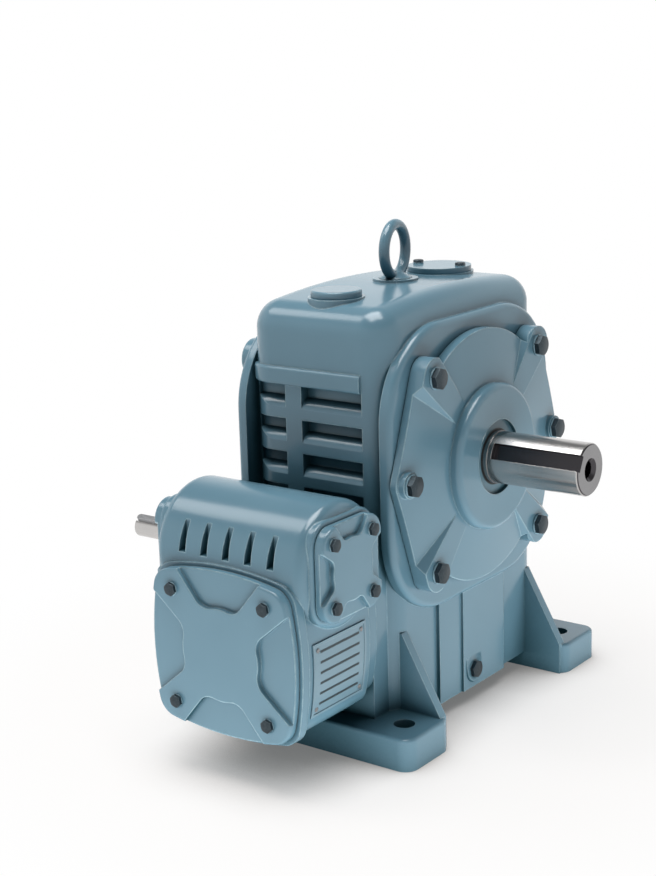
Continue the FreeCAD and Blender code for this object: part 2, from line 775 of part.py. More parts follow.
def fin_brow(side):
    """Rounded ledge above the top row of louvres, which follows the casing's corner."""
    width = casing_half_width + FIN_BROW_PROUD
    length = casing_half_length + FIN_BROW_PROUD
    top = fin_top + FIN_BROW_HEIGHT
    corner_r = CASING_CORNER_R + FIN_BROW_PROUD
    band = rounded(block(-width, width, -length, length, fin_top, top), corner_r, UP)
    band = round_end(round_end(band, FIN_BROW_ROUND, top), FIN_BROW_ROUND, fin_top)
    y0, y1 = sorted((side * cavity_half_length, side * length))
    return band.common(block(FIN_BROW_END - casing_half_width, fin_right, y0, y1, fin_top, top))


def casing_cavity():
    """Oil space round the wheel and the worm, with bosses left for the worm bearings."""
    width = casing_half_width - CASING_WALL
    length = cavity_half_length
    space = block(-width, width, -length, length, UNDERSIDE_GAP + CASING_WALL, cavity_top)
    space = rounded(space, CASING_CORNER_R - CASING_WALL, UP)
    boss_r = worm_bearing.outside + WORM_BORE_WALL
    bosses = [axis.put(disc(boss_r, WORM_BEARING_OFFSET, joint_plane)) for axis in (worm_axis, rear_axis)]
    return space.cut(bosses)


def casing_body():
    """Upright body with rounded corners and a top that is crowned along its length."""
    width = casing_half_width
    length = casing_half_length
    shoulder = casing_top - CROWN_DROP
    outline = [(-length, shoulder), (-length, UNDERSIDE_GAP), (length, UNDERSIDE_GAP), (length, shoulder)]
    corners = [Vector(-width, y, z) for y, z in outline]
    edges = [Part.makeLine(corners[k], corners[k + 1]) for k in range(3)]
    edges.append(Part.Arc(corners[3], Vector(-width, 0, casing_top), corners[0]).toShape())
    body = Part.Face(Part.Wire(edges)).extrude(Vector(2 * width, 0, 0))
    body = rounded(body, CASING_CORNER_R, UP)
    crown = max(body.Faces, key=lambda face: face.BoundBox.ZMin)
    return body.makeFillet(CASING_TOP_R, crown.OuterWire.Edges)


def main_housing():
    root = casing_half_width - SEAT_ROOT
    seat = round_plate(seat_half_length, seat_half, SEAT_CORNER_R, root, seat_plane)
    seat = round_end(seat, SEAT_ROUND, seat_plane)
    joint = block(-JOINT_HALF_WIDTH, JOINT_HALF_WIDTH, -joint_plane, -cavity_half_length, 0, JOINT_TOP)
    joint = rounded(joint, JOINT_CORNER_R, Vector(0, 1, 0))
    joint = joint.cut(block(-THROUGH, THROUGH, -THROUGH, THROUGH, -THROUGH, FOOT_THICKNESS / 2))
    rear = square_plate(REAR_COVER_HALF, REAR_COVER_R, cavity_half_length, rear_plane)
    adds = [output_axis.put(seat), blind_axis.put(seat), joint, rear_axis.put(rear)]
    adds += [fin_brow(side) for side in (-1, 1)]
    body = casing_body().fuse(adds + feet() + side_panels() + top_pads())
    return body.cut(casing_cuts()).removeSplitter()


def casing_cuts():
    cuts = [casing_cavity()]
    cuts.append(output_axis.put(disc(cover_bore, -seat_plane, seat_plane)))
    cuts.append(worm_axis.put(disc(worm_bearing.outside, -rear_plane, joint_plane)))
    holes = blind_holes(COVER_BOLT_DIA, seat_plane, cover_arm_places)
    cuts += [axis.put(hole) for axis in (output_axis, blind_axis) for hole in holes]
    cuts += [output_axis.put(hole) for hole in blind_holes(COVER_BOLT_DIA, seat_plane, cover_side_places)]
    cuts += [worm_axis.put(hole) for hole in blind_holes(COVER_BOLT_DIA, joint_plane, joint_places)]
    cuts += [rear_axis.put(hole) for hole in blind_holes(FRONT_BOLT_DIA, rear_plane, rear_places)]
    cuts += [disc(FOOT_HOLE_DIA / 2, 0, FOOT_THICKNESS, x, y) for x, y in foot_places]
    eye_depth = EYE_SHANK_LENGTH + BOLT_HOLE_SPARE
    cuts.append(disc(EYE_SHANK_DIA / 2 + FIT, eye_level - eye_depth, eye_level))
    cuts.append(disc(BREATHER_PLUG_DIA / 2 + FIT, cavity_top, breather_level, 0, -BREATHER_OFFSET))
    cuts.append(disc(HATCH_OPENING_DIA / 2, cavity_top, hatch_level, 0, HATCH_OFFSET))
    cuts += clear_holes(HATCH_SCREW_DIA, cavity_top, hatch_level, hatch_places)
    inside = casing_half_width - CASING_WALL
    cuts.append(drain_axis.put(disc(DRAIN_PLUG_DIA / 2 + FIT, inside, drain_face)))
    return cuts + fin_pockets(-1) + fin_pockets(1)


# Covers of the output shaft

def side_lobe(angle):
    """Lobe of one side bolt with straight edges out to the lobes of its two neighbours."""
    x, y = on_circle(cover_bolt_r, angle)
    lobe = disc(COVER_SIDE_LOBE_R, 0, COVER_FLANGE, x, y)
    fillers = []
    for turn in (-1, 1):
        lean = angle + turn * COVER_ARM_ANGLES[0] / 2
        side_x, side_y = on_circle(COVER_SIDE_LOBE_R, lean)
        arm_x, arm_y = on_circle(cover_bolt_r, angle + turn * COVER_ARM_ANGLES[0])
        lift_x, lift_y = on_circle(COVER_LOBE_R, lean)
        corners = [(0, 0, 0), (x + side_x, y + side_y, 0), (arm_x + lift_x, arm_y + lift_y, 0)]
        fillers.append(prism(polygon(corners), 0, COVER_FLANGE))
    return lobe.fuse(fillers)


def cover_body(extras, places):
    """Lobed flange, fields that slope away between four arms, hub, spigot and bearing pocket."""
    flange = COVER_FLANGE
    lobes = [disc(COVER_LOBE_R, 0, flange, x, y) for x, y in cover_arm_places]
    plate = disc(COVER_EDGE_R, 0, flange).fuse(lobes + extras)
    outline = [(COVER_RIM, cover_reach), (flange, field_start)]
    outline += [(cover_face, field_start), (cover_face, cover_reach)]
    ridge = flange + COVER_ARM_SPARE
    ridges = arms(COVER_ARM_ROOT, COVER_ARM_END, cover_reach, 0, ridge, COVER_ARM_DRAFT)
    plate = plate.cut(turned(outline).cut(ridges))
    hub = round_end(disc(COVER_HUB_R, 0, cover_face), COVER_HUB_ROUND, cover_face)
    dish = UP * (cover_face - COVER_HUB_DISH)
    hub = hub.cut(Part.makeCone(0, COVER_HUB_R - COVER_HUB_ROUND, COVER_HUB_DISH, dish))
    spigot = ring(cover_bore - SPIGOT_CLEARANCE, cover_bore - COVER_SPIGOT, -COVER_SPIGOT, flange / 2)
    depth = output_bearing.width + POCKET_LIP
    pocket = disc(output_bearing.outside + HUB_WALL, -depth, flange / 2)
    pads = [disc(COVER_SIDE_PAD_R, 0, side_pad, x, y) for x, y in places if (x, y) in cover_side_places]
    cuts = clear_holes(COVER_BOLT_DIA, 0, cover_face, places)
    cuts.append(disc(output_bearing.outside, -depth, 0))
    return plate.fuse(pads + [hub, spigot, pocket]).cut(cuts).removeSplitter()


def output_cover():
    seal_start = cover_face - SEAL_RECESS - OUTPUT_SEAL_WIDTH
    seal_bore = OUTPUT_SEAL_OD / 2
    cuts = [disc(seal_bore, seal_start, cover_face), disc(seal_bore - SEAL_STEP, 0, seal_start)]
    lobes = [side_lobe(angle) for angle in COVER_SIDE_ANGLES]
    return cover_body(lobes, cover_arm_places + cover_side_places).cut(cuts)


def blind_cover():
    return cover_body([], cover_arm_places).cut(disc(output_bearing.outer_land, 0, BEARING_RELIEF))


def cover_arm_bolts():
    return bolts(COVER_BOLT_DIA, COVER_FLANGE, cover_arm_places)


def cover_side_bolts():
    return bolts(COVER_BOLT_DIA, side_pad, cover_side_places)


def cover_gasket():
    outer = cover_bolt_r - COVER_BOLT_DIA
    return ring(outer, cover_bore, -GASKET, 0)


# Output shaft

def output_shaft():
    seat = output_bearing.bore
    half_hub = OUTPUT_HUB_LENGTH / 2
    shoulder = output_shoulder
    tip = shoulder + OUTPUT_SHAFT_LENGTH
    radius = OUTPUT_SHAFT_DIA / 2
    steps = [(-half_hub, seat), (half_hub, OUTPUT_WHEEL_SEAT_DIA / 2)]
    steps += [(output_collar, OUTPUT_SHOULDER_DIA / 2), (cover_plane, seat)]
    steps.append((shoulder, OUTPUT_SEAL_SEAT_DIA / 2))
    shaft = stepped(-cover_plane - SHAFT_END_RELIEF, steps)
    chamfer = OUTPUT_END_CHAMFER
    end = [(shoulder, 0), (shoulder, radius), (tip - chamfer, radius), (tip, radius - chamfer), (tip, 0)]
    hole = OUTPUT_CENTRE_HOLE_DIA / 2
    floor = tip - OUTPUT_CENTRE_HOLE_DEPTH
    mouth = hole + OUTPUT_CENTRE_HOLE_CHAMFER
    centre = [(floor - hole / 2, 0), (floor, hole), (tip - OUTPUT_CENTRE_HOLE_CHAMFER, hole)]
    centre += [(tip, mouth), (tip, 0)]
    half_way = OUTPUT_KEYWAY_WIDTH / 2
    start = shoulder + OUTPUT_KEYWAY_INSET
    keyway = block(-radius * 2, -radius + OUTPUT_KEYWAY_DEPTH, -half_way, half_way, start, tip)
    key = key_bar(OUTPUT_KEY_WIDTH, OUTPUT_KEY_HEIGHT, OUTPUT_KEY_LENGTH, OUTPUT_WHEEL_SEAT_DIA / 2)
    return shaft.fuse(turned(end)).cut([turned(centre), spun(keyway, -KEYWAY_TURN), key])


def output_wheel():
    """Wheel centre with its keyway, and the key."""
    bore = OUTPUT_WHEEL_SEAT_DIA / 2
    centre = wheel_centre(pair_2, bore, OUTPUT_HUB_DIA, OUTPUT_HUB_LENGTH, WHEEL_WEB)
    key = key_bar(OUTPUT_KEY_WIDTH, OUTPUT_KEY_HEIGHT, OUTPUT_KEY_LENGTH, bore)
    slot = key_bar(OUTPUT_KEY_WIDTH, OUTPUT_KEY_HEIGHT, OUTPUT_HUB_LENGTH, bore)
    return centre.cut(slot), key


# Second-stage worm shaft with the first-stage wheel

def second_stage_worm():
    runout = pair_2.worm_length / 2 + WORM_RUNOUT
    collar = WORM_COLLAR_DIA / 2
    steps = [(-WORM_BEARING_OFFSET, worm_bearing.bore), (-runout, collar), (runout, pair_2.worm_root)]
    steps += [(WORM_BEARING_OFFSET, collar), (first_hub_start, worm_bearing.bore)]
    steps += [(nose_bearing_start, FIRST_WHEEL_SEAT_DIA / 2), (nose_bearing_end, small_bearing.bore)]
    shaft = stepped(-worm_bearing_end, steps).fuse(thread_starts(pair_2))
    return shaft.cut(first_wheel()[1])


def first_wheel():
    """Wheel centre with its keyway, and the key, at the first-stage position."""
    bore = FIRST_WHEEL_SEAT_DIA / 2
    centre = wheel_centre(pair_1, bore, FIRST_HUB_DIA, FIRST_HUB_LENGTH, FIRST_WEB)
    key = key_bar(FIRST_KEY_WIDTH, FIRST_KEY_HEIGHT, FIRST_KEY_LENGTH, bore)
    slot = key_bar(FIRST_KEY_WIDTH, FIRST_KEY_HEIGHT, FIRST_HUB_LENGTH, bore)
    pieces = [centre.cut(slot), key]
    for piece in pieces:
        piece.translate(UP * INPUT_SETBACK)
    return pieces


def locknut():
    radius = LOCKNUT_DIA / 2
    end = first_hub_end + LOCKNUT_WIDTH
    nut = ring(radius, FIRST_WHEEL_SEAT_DIA / 2, first_hub_end, end)
    half = LOCKNUT_SLOT / 2
    slot = block(radius - LOCKNUT_SLOT_DEPTH, radius * 2, -half, half, first_hub_end, end)
    return nut.cut([spun(slot, 90 * k) for k in range(4)])


# Input worm shaft

def input_worm():
    runout = pair_1.worm_length / 2 + INPUT_RUNOUT
    collar = INPUT_COLLAR_DIA / 2
    seat = small_bearing.bore
    end = input_shoulder + INPUT_SHAFT_LENGTH
    radius = INPUT_SHAFT_DIA / 2
    steps = [(-INPUT_BEARING_OFFSET, seat), (-runout, collar), (runout, pair_1.worm_root)]
    steps += [(INPUT_BEARING_OFFSET, collar), (input_shoulder, seat), (end - INPUT_END_CHAMFER, radius)]
    shaft = stepped(-input_bearing_end, steps)
    chamfer = INPUT_END_CHAMFER
    tip = Part.makeCone(radius, radius - chamfer, chamfer, UP * (end - chamfer))
    threads = [spun(thread, 180) for thread in thread_starts(pair_1)]
    half = INPUT_KEYWAY_WIDTH / 2
    start = end - INPUT_KEYWAY_LENGTH
    keyway = block(-half, half, radius - INPUT_KEYWAY_DEPTH, radius * 2, start, end)
    return shaft.fuse(threads + [tip]).cut(spun(keyway, -KEYWAY_TURN))


# First-stage box

def first_stage_housing():
    lip = FRONT_FLANGE_LIP
    inset = NECK_INSET
    body = bulged_plate(box_half_width, box_half, neck_end, box_front)
    flange = bulged_plate(box_half_width + lip, box_half + lip, box_front - FRONT_FLANGE_DEPTH, box_front)
    neck = bulged_plate(box_half_width - inset, box_half - inset, box_rear, neck_end + inset)
    spigot = disc(worm_bearing.outside - SPIGOT_CLEARANCE, worm_bearing_end, box_rear + inset)
    barrel = disc(BARREL_R, -barrel_half, barrel_half)
    barrel = round_end(round_end(barrel, BARREL_END_R, barrel_half), BARREL_END_R, -barrel_half)
    seat = square_plate(SIDE_SEAT_HALF, SIDE_SEAT_R, barrel_half - SIDE_SEAT_ROOT, side_plane)
    seat = round_end(seat, SIDE_SEAT_ROUND, side_plane)
    lower = [worm_axis.put(piece) for piece in (flange, neck, spigot)]
    upper = [tail_axis.put(barrel), tail_axis.put(seat), drive_axis.put(seat)]
    box = worm_axis.put(body).fuse(lower + upper)
    return box.cut(box_cuts()).removeSplitter()


def box_cuts():
    seal_bore = INTERSTAGE_SEAL_OD / 2
    along_worm = [disc(box_bore, box_floor, box_front)]
    along_worm.append(disc(seal_bore, worm_bearing_end, interstage_seal_end))
    along_worm.append(disc(seal_bore - SEAL_LIP_STEP, interstage_seal_end, box_floor))
    along_worm += clear_holes(COVER_BOLT_DIA, box_rear, box_floor, joint_places)
    along_worm += blind_holes(FRONT_BOLT_DIA, box_front, front_places)
    cuts = [worm_axis.put(cut) for cut in along_worm]
    cuts.append(tail_axis.put(disc(small_bearing.outside, -side_plane, side_plane)))
    holes = blind_holes(SIDE_BOLT_DIA, side_plane, side_places)
    cuts += [axis.put(hole) for axis in (tail_axis, drive_axis) for hole in holes]
    floor = INPUT_SETBACK + BARREL_R - SLIT_FLOOR_INSET
    low = WORM_AXIS_HEIGHT + box_half + FRONT_FLANGE_LIP + SLIT_START
    high = input_height + BARREL_R
    one_side = [(SLIT_WIDTH / 2, low), (SLIT_TOP_WIDTH / 2, high)]
    outline = one_side + [(-x, z) for x, z in reversed(one_side)]
    slit = Part.Face(polygon([(x, -box_front, z) for x, z in outline]))
    slit = slit.extrude(Vector(0, box_front - floor, 0))
    for index in range(SLIT_COUNT):
        cut = slit.copy()
        cut.translate(Vector((index - (SLIT_COUNT - 1) / 2) * SLIT_PITCH, 0, 0))
        cuts.append(cut)
    return cuts


def stage_joint_bolts():
    """Hex bolts from inside the box, through its rear wall into the casing."""
    group = bolts(COVER_BOLT_DIA, BOX_REAR_WALL, joint_places)
    for piece in group:
        piece.translate(UP * box_rear)
    return group


def front_cover():
    top = FRONT_COVER_PLATE
    plate = round_end(bulged_plate(box_half_width, box_half, 0, top), PLATE_ROUND, top)
    plate = spider_plate(plate, FRONT_COVER_HUB_R, FRONT_COVER_ARM_ROOT, FRONT_COVER_ARM_END,
                         FRONT_COVER_BLEND_R, top, FRONT_COVER_RECESS)
    depth = NOSE_BEARING_FLOOR + small_bearing.width + POCKET_LIP
    pocket = disc(small_bearing.outside + NOSE_POCKET_WALL, -depth, 0)
    cuts = clear_holes(FRONT_BOLT_DIA, 0, top, front_places)
    cuts.append(disc(small_bearing.outside, -depth, -NOSE_BEARING_FLOOR))
    cuts.append(disc(small_bearing.outer_land, -NOSE_BEARING_FLOOR, BEARING_RELIEF))
    return plate.fuse(pocket).cut(cuts)


def front_cover_gasket():
    sheet = bulged_plate(box_half_width, box_half, -GASKET, 0)
    return sheet.cut([disc(box_bore, -GASKET, 0)] + clear_holes(FRONT_BOLT_DIA, -GASKET, 0, front_places))


def side_plate():
    """Square bearing cover of the first stage with its spigot, still closed."""
    top = SIDE_COVER_PLATE
    plate = round_end(square_plate(SIDE_COVER_HALF, SIDE_COVER_R, 0, top), PLATE_ROUND, top)
    plate = spider_plate(plate, SIDE_COVER_HUB_R, SIDE_COVER_ARM_ROOT, SIDE_COVER_ARM_END,
                         SIDE_COVER_BLEND_R, top, SIDE_COVER_RECESS)
    reach = side_cover_plane - input_bearing_end
    spigot = ring(small_bearing.outside - SPIGOT_CLEARANCE, small_bearing.outer_land, -reach, 0)
    return plate.fuse(spigot).cut(clear_holes(SIDE_BOLT_DIA, 0, top, side_places))


def input_cover():
    seal_bore = INPUT_SEAL_OD / 2
    seal_start = input_nose - INPUT_SEAL_WIDTH
    cover = side_plate().fuse(round_end(disc(INPUT_NOSE_R, 0, input_nose), COVER_HUB_ROUND, input_nose))
    return cover.cut([disc(seal_bore, seal_start, input_nose), disc(seal_bore - SEAL_STEP, 0, seal_start)])


def side_shim():
    return ring(SHIM_OD / 2, small_bearing.outside, -GASKET, 0)


def rear_cover():
    top = REAR_COVER_PLATE
    plate = round_end(square_plate(REAR_COVER_HALF, REAR_COVER_R, 0, top), PLATE_ROUND, top)
    reach = rear_cover_plane - worm_bearing_end
    spigot = ring(worm_bearing.outside - SPIGOT_CLEARANCE, worm_bearing.outer_land, -reach, 0)
    return plate.fuse(spigot).cut(clear_holes(FRONT_BOLT_DIA, 0, top, rear_places))


# Fittings

def eyebolt():
    outer = EYE_OUTER_DIA / 2
    wire_r = (EYE_OUTER_DIA - EYE_INNER_DIA) / 4
    top = eye_level + EYE_HEIGHT
    centre = Vector(0, 0, top - outer)
    eye = Part.makeTorus(outer - wire_r, wire_r, centre, Vector(1, 0, 0))
    eye = eye.common(block(-outer, outer, -outer, outer, eye_level, top))
    collar = Part.makeCone(EYE_COLLAR_DIA / 2, wire_r, EYE_COLLAR, UP * eye_level)
    shank = disc(EYE_SHANK_DIA / 2, eye_level - EYE_SHANK_LENGTH, eye_level)
    return spun(eye.fuse([collar, shank]), EYE_TURN)


def breather_cap():
    seat = breather_level
    top = seat + BREATHER_CAP_HEIGHT
    cap = round_end(disc(BREATHER_CAP_DIA / 2, seat, top, 0, -BREATHER_OFFSET), BREATHER_CAP_ROUND, top)
    return cap.fuse(disc(BREATHER_PLUG_DIA / 2, seat - BREATHER_PLUG_LENGTH, seat, 0, -BREATHER_OFFSET))


def hatch():
    top = hatch_level + HATCH_THICKNESS
    plate = disc(HATCH_DIA / 2, hatch_level, top, 0, HATCH_OFFSET)
    return plate.cut(clear_holes(HATCH_SCREW_DIA, hatch_level, top, hatch_places))


def hatch_screws():
    group = bolts(HATCH_SCREW_DIA, HATCH_THICKNESS, hatch_places)
    for piece in group:
        piece.translate(UP * hatch_level)
    return group


def drain_plug():
    head = hexagon(DRAIN_HEAD_FLATS, drain_face, drain_face + DRAIN_HEAD_HEIGHT)
    return head.fuse(disc(DRAIN_PLUG_DIA / 2, drain_face - DRAIN_PLUG_LENGTH, drain_face))


os.makedirs("parts", exist_ok=True)

# Pieces of the casing in the global frame
save("main_housing", None, main_housing())
save("first_stage_housing", None, first_stage_housing())
save("lifting_eyebolt", None, eyebolt())
save("breather_cap", None, breather_cap())
save("inspection_cover", None, hatch())
save("inspection_cover_screws", None, *hatch_screws())
save("drain_plug", drain_axis, drain_plug())

# Pieces in the frames of their shafts; covers count from their own seat
output_seat = Station(Vector(cover_plane, 0, output_height), Vector(1, 0, 0))
blind_seat = Station(Vector(-cover_plane, 0, output_height), Vector(-1, 0, 0))
front_seat = Station(Vector(0, -front_cover_plane, WORM_AXIS_HEIGHT), Vector(0, -1, 0))
rear_seat = Station(Vector(0, rear_cover_plane, WORM_AXIS_HEIGHT), Vector(0, 1, 0))
tail_seat = Station(Vector(side_cover_plane, -INPUT_SETBACK, input_height), Vector(1, 0, 0))
drive_seat = Station(Vector(-side_cover_plane, -INPUT_SETBACK, input_height), Vector(-1, 0, 0))

output_seal_start = cover_face - SEAL_RECESS - OUTPUT_SEAL_WIDTH
save("output_cover", output_seat, output_cover())
save("output_cover_gasket", output_seat, cover_gasket())
save("output_cover_bolts", output_seat, *cover_arm_bolts(), *cover_side_bolts())
save("output_seal", output_seat,
     lip_seal(OUTPUT_SEAL_OD, OUTPUT_SEAL_SEAT_DIA / 2, output_seal_start, OUTPUT_SEAL_WIDTH))
save("output_bearing_outer_ring", output_seat, outer_ring(output_bearing, -output_bearing.width))
save("output_bearing_inner_ring", output_seat, inner_ring(output_bearing, -output_bearing.width))
save("blind_cover", blind_seat, blind_cover())
save("blind_cover_gasket", blind_seat, cover_gasket())
save("blind_cover_bolts", blind_seat, *cover_arm_bolts())
save("blind_bearing_outer_ring", blind_seat, outer_ring(output_bearing, -output_bearing.width))
save("blind_bearing_inner_ring", blind_seat, inner_ring(output_bearing, -output_bearing.width))

wheel_2_centre, wheel_2_key = output_wheel()
spacer_r = output_bearing.bore + OUTPUT_SPACER_WALL
save("output_shaft", output_axis, output_shaft())
save("output_wheel_centre", output_axis, wheel_2_centre)
save("output_wheel_key", output_axis, wheel_2_key)
save("output_wheel_rim", output_axis, spun(wheel_rim(pair_2), 180))
save("output_shaft_rollers", None, *rollers(output_bearing, output_axis, output_collar),
     *rollers(output_bearing, blind_axis, output_collar))
save("output_spacer", blind_axis,
     ring(spacer_r, output_bearing.bore, OUTPUT_HUB_LENGTH / 2, output_collar))

wheel_1_centre, wheel_1_key = first_wheel()
wheel_1_rim = wheel_rim(pair_1)
wheel_1_rim.translate(UP * INPUT_SETBACK)
save("second_stage_worm", worm_axis, second_stage_worm())
save("first_wheel_centre", worm_axis, wheel_1_centre)
save("first_wheel_key", worm_axis, wheel_1_key)
save("first_wheel_rim", worm_axis, wheel_1_rim)
save("first_wheel_locknut", worm_axis, locknut())
save("worm_front_bearing_outer_ring", worm_axis, outer_ring(worm_bearing, WORM_BEARING_OFFSET))
save("worm_front_bearing_inner_ring", worm_axis, inner_ring(worm_bearing, WORM_BEARING_OFFSET))
save("worm_nose_bearing_outer_ring", worm_axis, outer_ring(small_bearing, nose_bearing_start))
save("worm_nose_bearing_inner_ring", worm_axis, inner_ring(small_bearing, nose_bearing_start))
save("worm_rear_bearing_outer_ring", rear_axis, outer_ring(worm_bearing, WORM_BEARING_OFFSET))
save("worm_rear_bearing_inner_ring", rear_axis, inner_ring(worm_bearing, WORM_BEARING_OFFSET))
save("worm_shaft_rollers", None, *rollers(worm_bearing, worm_axis, WORM_BEARING_OFFSET),
     *rollers(worm_bearing, rear_axis, WORM_BEARING_OFFSET),
     *rollers(small_bearing, worm_axis, nose_bearing_start))
save("interstage_seal", worm_axis,
     lip_seal(INTERSTAGE_SEAL_OD, worm_bearing.bore, interstage_seal_end - INTERSTAGE_SEAL_WIDTH,
              INTERSTAGE_SEAL_WIDTH))
save("stage_joint_gasket", worm_axis,
     ring(JOINT_GASKET_OD / 2, worm_bearing.outside, joint_plane, box_rear))
save("stage_joint_bolts", worm_axis, *stage_joint_bolts())
save("worm_rear_cover", rear_seat, rear_cover())
save("worm_rear_cover_gasket", rear_seat, ring(REAR_GASKET_OD / 2, worm_bearing.outside, -GASKET, 0))
save("worm_rear_cover_bolts", rear_seat, *bolts(FRONT_BOLT_DIA, REAR_COVER_PLATE, rear_places))
save("first_stage_front_cover", front_seat, front_cover())
save("front_cover_gasket", front_seat, front_cover_gasket())
save("front_cover_bolts", front_seat, *bolts(FRONT_BOLT_DIA, FRONT_COVER_PLATE, front_places))

save("input_worm", drive_axis, input_worm())
save("tail_bearing_cover", tail_seat, side_plate())
save("tail_cover_shim", tail_seat, side_shim())
save("tail_cover_bolts", tail_seat, *bolts(SIDE_BOLT_DIA, SIDE_COVER_PLATE, side_places))
save("tail_bearing_outer_ring", tail_axis, outer_ring(small_bearing, INPUT_BEARING_OFFSET))
save("tail_bearing_inner_ring", tail_axis, inner_ring(small_bearing, INPUT_BEARING_OFFSET))
save("input_cover", drive_seat, input_cover())
save("input_cover_shim", drive_seat, side_shim())
save("input_cover_bolts", drive_seat, *bolts(SIDE_BOLT_DIA, SIDE_COVER_PLATE, side_places))
save("input_bearing_outer_ring", drive_axis, outer_ring(small_bearing, INPUT_BEARING_OFFSET))
save("input_bearing_inner_ring", drive_axis, inner_ring(small_bearing, INPUT_BEARING_OFFSET))
save("input_shaft_rollers", None, *rollers(small_bearing, tail_axis, INPUT_BEARING_OFFSET),
     *rollers(small_bearing, drive_axis, INPUT_BEARING_OFFSET))
save("input_seal", drive_seat,
     lip_seal(INPUT_SEAL_OD, small_bearing.bore, input_nose - INPUT_SEAL_WIDTH, INPUT_SEAL_WIDTH))
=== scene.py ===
import json
import logging
import math
from dataclasses import dataclass
from enum import Enum
from typing import Any, Optional, Sequence

import bmesh
import bpy
from mathutils import Matrix, Vector


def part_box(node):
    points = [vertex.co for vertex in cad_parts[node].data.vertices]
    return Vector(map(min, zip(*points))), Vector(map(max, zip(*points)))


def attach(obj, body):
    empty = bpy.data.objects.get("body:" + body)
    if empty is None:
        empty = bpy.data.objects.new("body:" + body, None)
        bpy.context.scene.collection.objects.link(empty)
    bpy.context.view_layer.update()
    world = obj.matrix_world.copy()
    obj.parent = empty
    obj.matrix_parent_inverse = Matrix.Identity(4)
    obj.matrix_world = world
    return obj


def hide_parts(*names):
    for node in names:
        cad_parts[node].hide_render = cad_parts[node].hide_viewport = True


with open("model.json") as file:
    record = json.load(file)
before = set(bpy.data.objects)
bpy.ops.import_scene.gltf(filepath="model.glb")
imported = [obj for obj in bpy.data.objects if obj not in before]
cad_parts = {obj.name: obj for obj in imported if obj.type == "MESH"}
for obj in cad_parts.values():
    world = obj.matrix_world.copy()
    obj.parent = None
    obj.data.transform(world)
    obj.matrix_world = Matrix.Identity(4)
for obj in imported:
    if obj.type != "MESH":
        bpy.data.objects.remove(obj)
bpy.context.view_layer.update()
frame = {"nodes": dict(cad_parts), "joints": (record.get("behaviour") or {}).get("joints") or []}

LOG = logging.getLogger("reducer")
MM = 0.001
PHOTO_SIZE_PX = (656, 876)
UP = Vector((0.0, 0.0, 1.0))
WHITE = (1.0, 1.0, 1.0, 1.0)
# Length of one wave of the wave texture at a scale of 1
WAVE_UNIT = math.tau / 20
# Cosine between a face and its rounded normal, on a flat face and at an edge
FACE_COSINE = 0.99
EDGE_COSINE = 0.90
SHARP_EDGE_DEG = 35.0
SEAM_DIGITS = 6
HEX_STEP_DEG = 60.0
# From the output shaft's side towards the middle
INWARDS = Vector((-1.0, 0.0, 0.0))


class Body(Enum):
    """The rigid bodies of the frame that the added pieces ride on."""

    CASING = "casing"
    INPUT = "input"


class Axis(Enum):
    """The lengthwise direction of a turned piece."""

    X = "X"
    Y = "Y"


def linear(hex_colour: str) -> tuple[float, float, float, float]:
    """Turn an sRGB hex colour into linear RGBA.

    Args:
        hex_colour: six hex digits after a hash sign.

    Returns:
        Linear red, green, blue and an alpha of 1.
    """
    parts = [int(hex_colour[i:i + 2], 16) / 255 for i in (1, 3, 5)]
    channels = [c / 12.92 if c <= 0.04045 else ((c + 0.055) / 1.055) ** 2.4 for c in parts]
    return channels[0], channels[1], channels[2], 1.0


def per_metre(size_mm: float) -> float:
    """Texture scale that makes one feature as wide as a real size in millimetres."""
    return 1.0 / (size_mm * MM)


def joint_point(name: str) -> Vector:
    """A point on a joint's axis at rest, in metres."""
    return Vector(next(joint for joint in frame["joints"] if joint["name"] == name)["pos_m"])


def add_node(
    tree: bpy.types.NodeTree,
    kind: str,
    settings: Optional[dict[Any, Any]] = None,
    links: Optional[dict[Any, bpy.types.NodeSocket]] = None,
) -> bpy.types.Node:
    """Add one shader node with its settings and incoming links.

    Args:
        tree: the node tree that gets the node.
        kind: the node's type name.
        settings: input sockets by name or index, or properties by name, with values.
        links: input sockets by name or index, with the sockets that feed them.

    Returns:
        The new node.
    """
    node = tree.nodes.new(kind)
    for key, value in (settings or {}).items():
        if isinstance(key, int) or key in node.inputs:
            node.inputs[key].default_value = value
        else:
            setattr(node, key, value)
    for key, source in (links or {}).items():
        tree.links.new(source, node.inputs[key])
    return node


def new_material(name: str) -> tuple[bpy.types.Material, bpy.types.NodeTree]:
    """Make an empty node material.

    Args:
        name: the material's name.

    Returns:
        The material and its cleared node tree.
    """
    material = bpy.data.materials.new(name)
    material.use_nodes = True
    material.node_tree.nodes.clear()
    return material, material.node_tree


def finish_material(
    tree: bpy.types.NodeTree,
    settings: dict[str, Any],
    links: dict[str, bpy.types.NodeSocket],
) -> None:
    """Close a material with its surface shader and output.

    Args:
        tree: the material's node tree.
        settings: fixed values of the surface shader.
        links: the sockets that drive the surface shader.
    """
    shader = add_node(tree, "ShaderNodeBsdfPrincipled", settings, links)
    add_node(tree, "ShaderNodeOutputMaterial", links={"Surface": shader.outputs["BSDF"]})


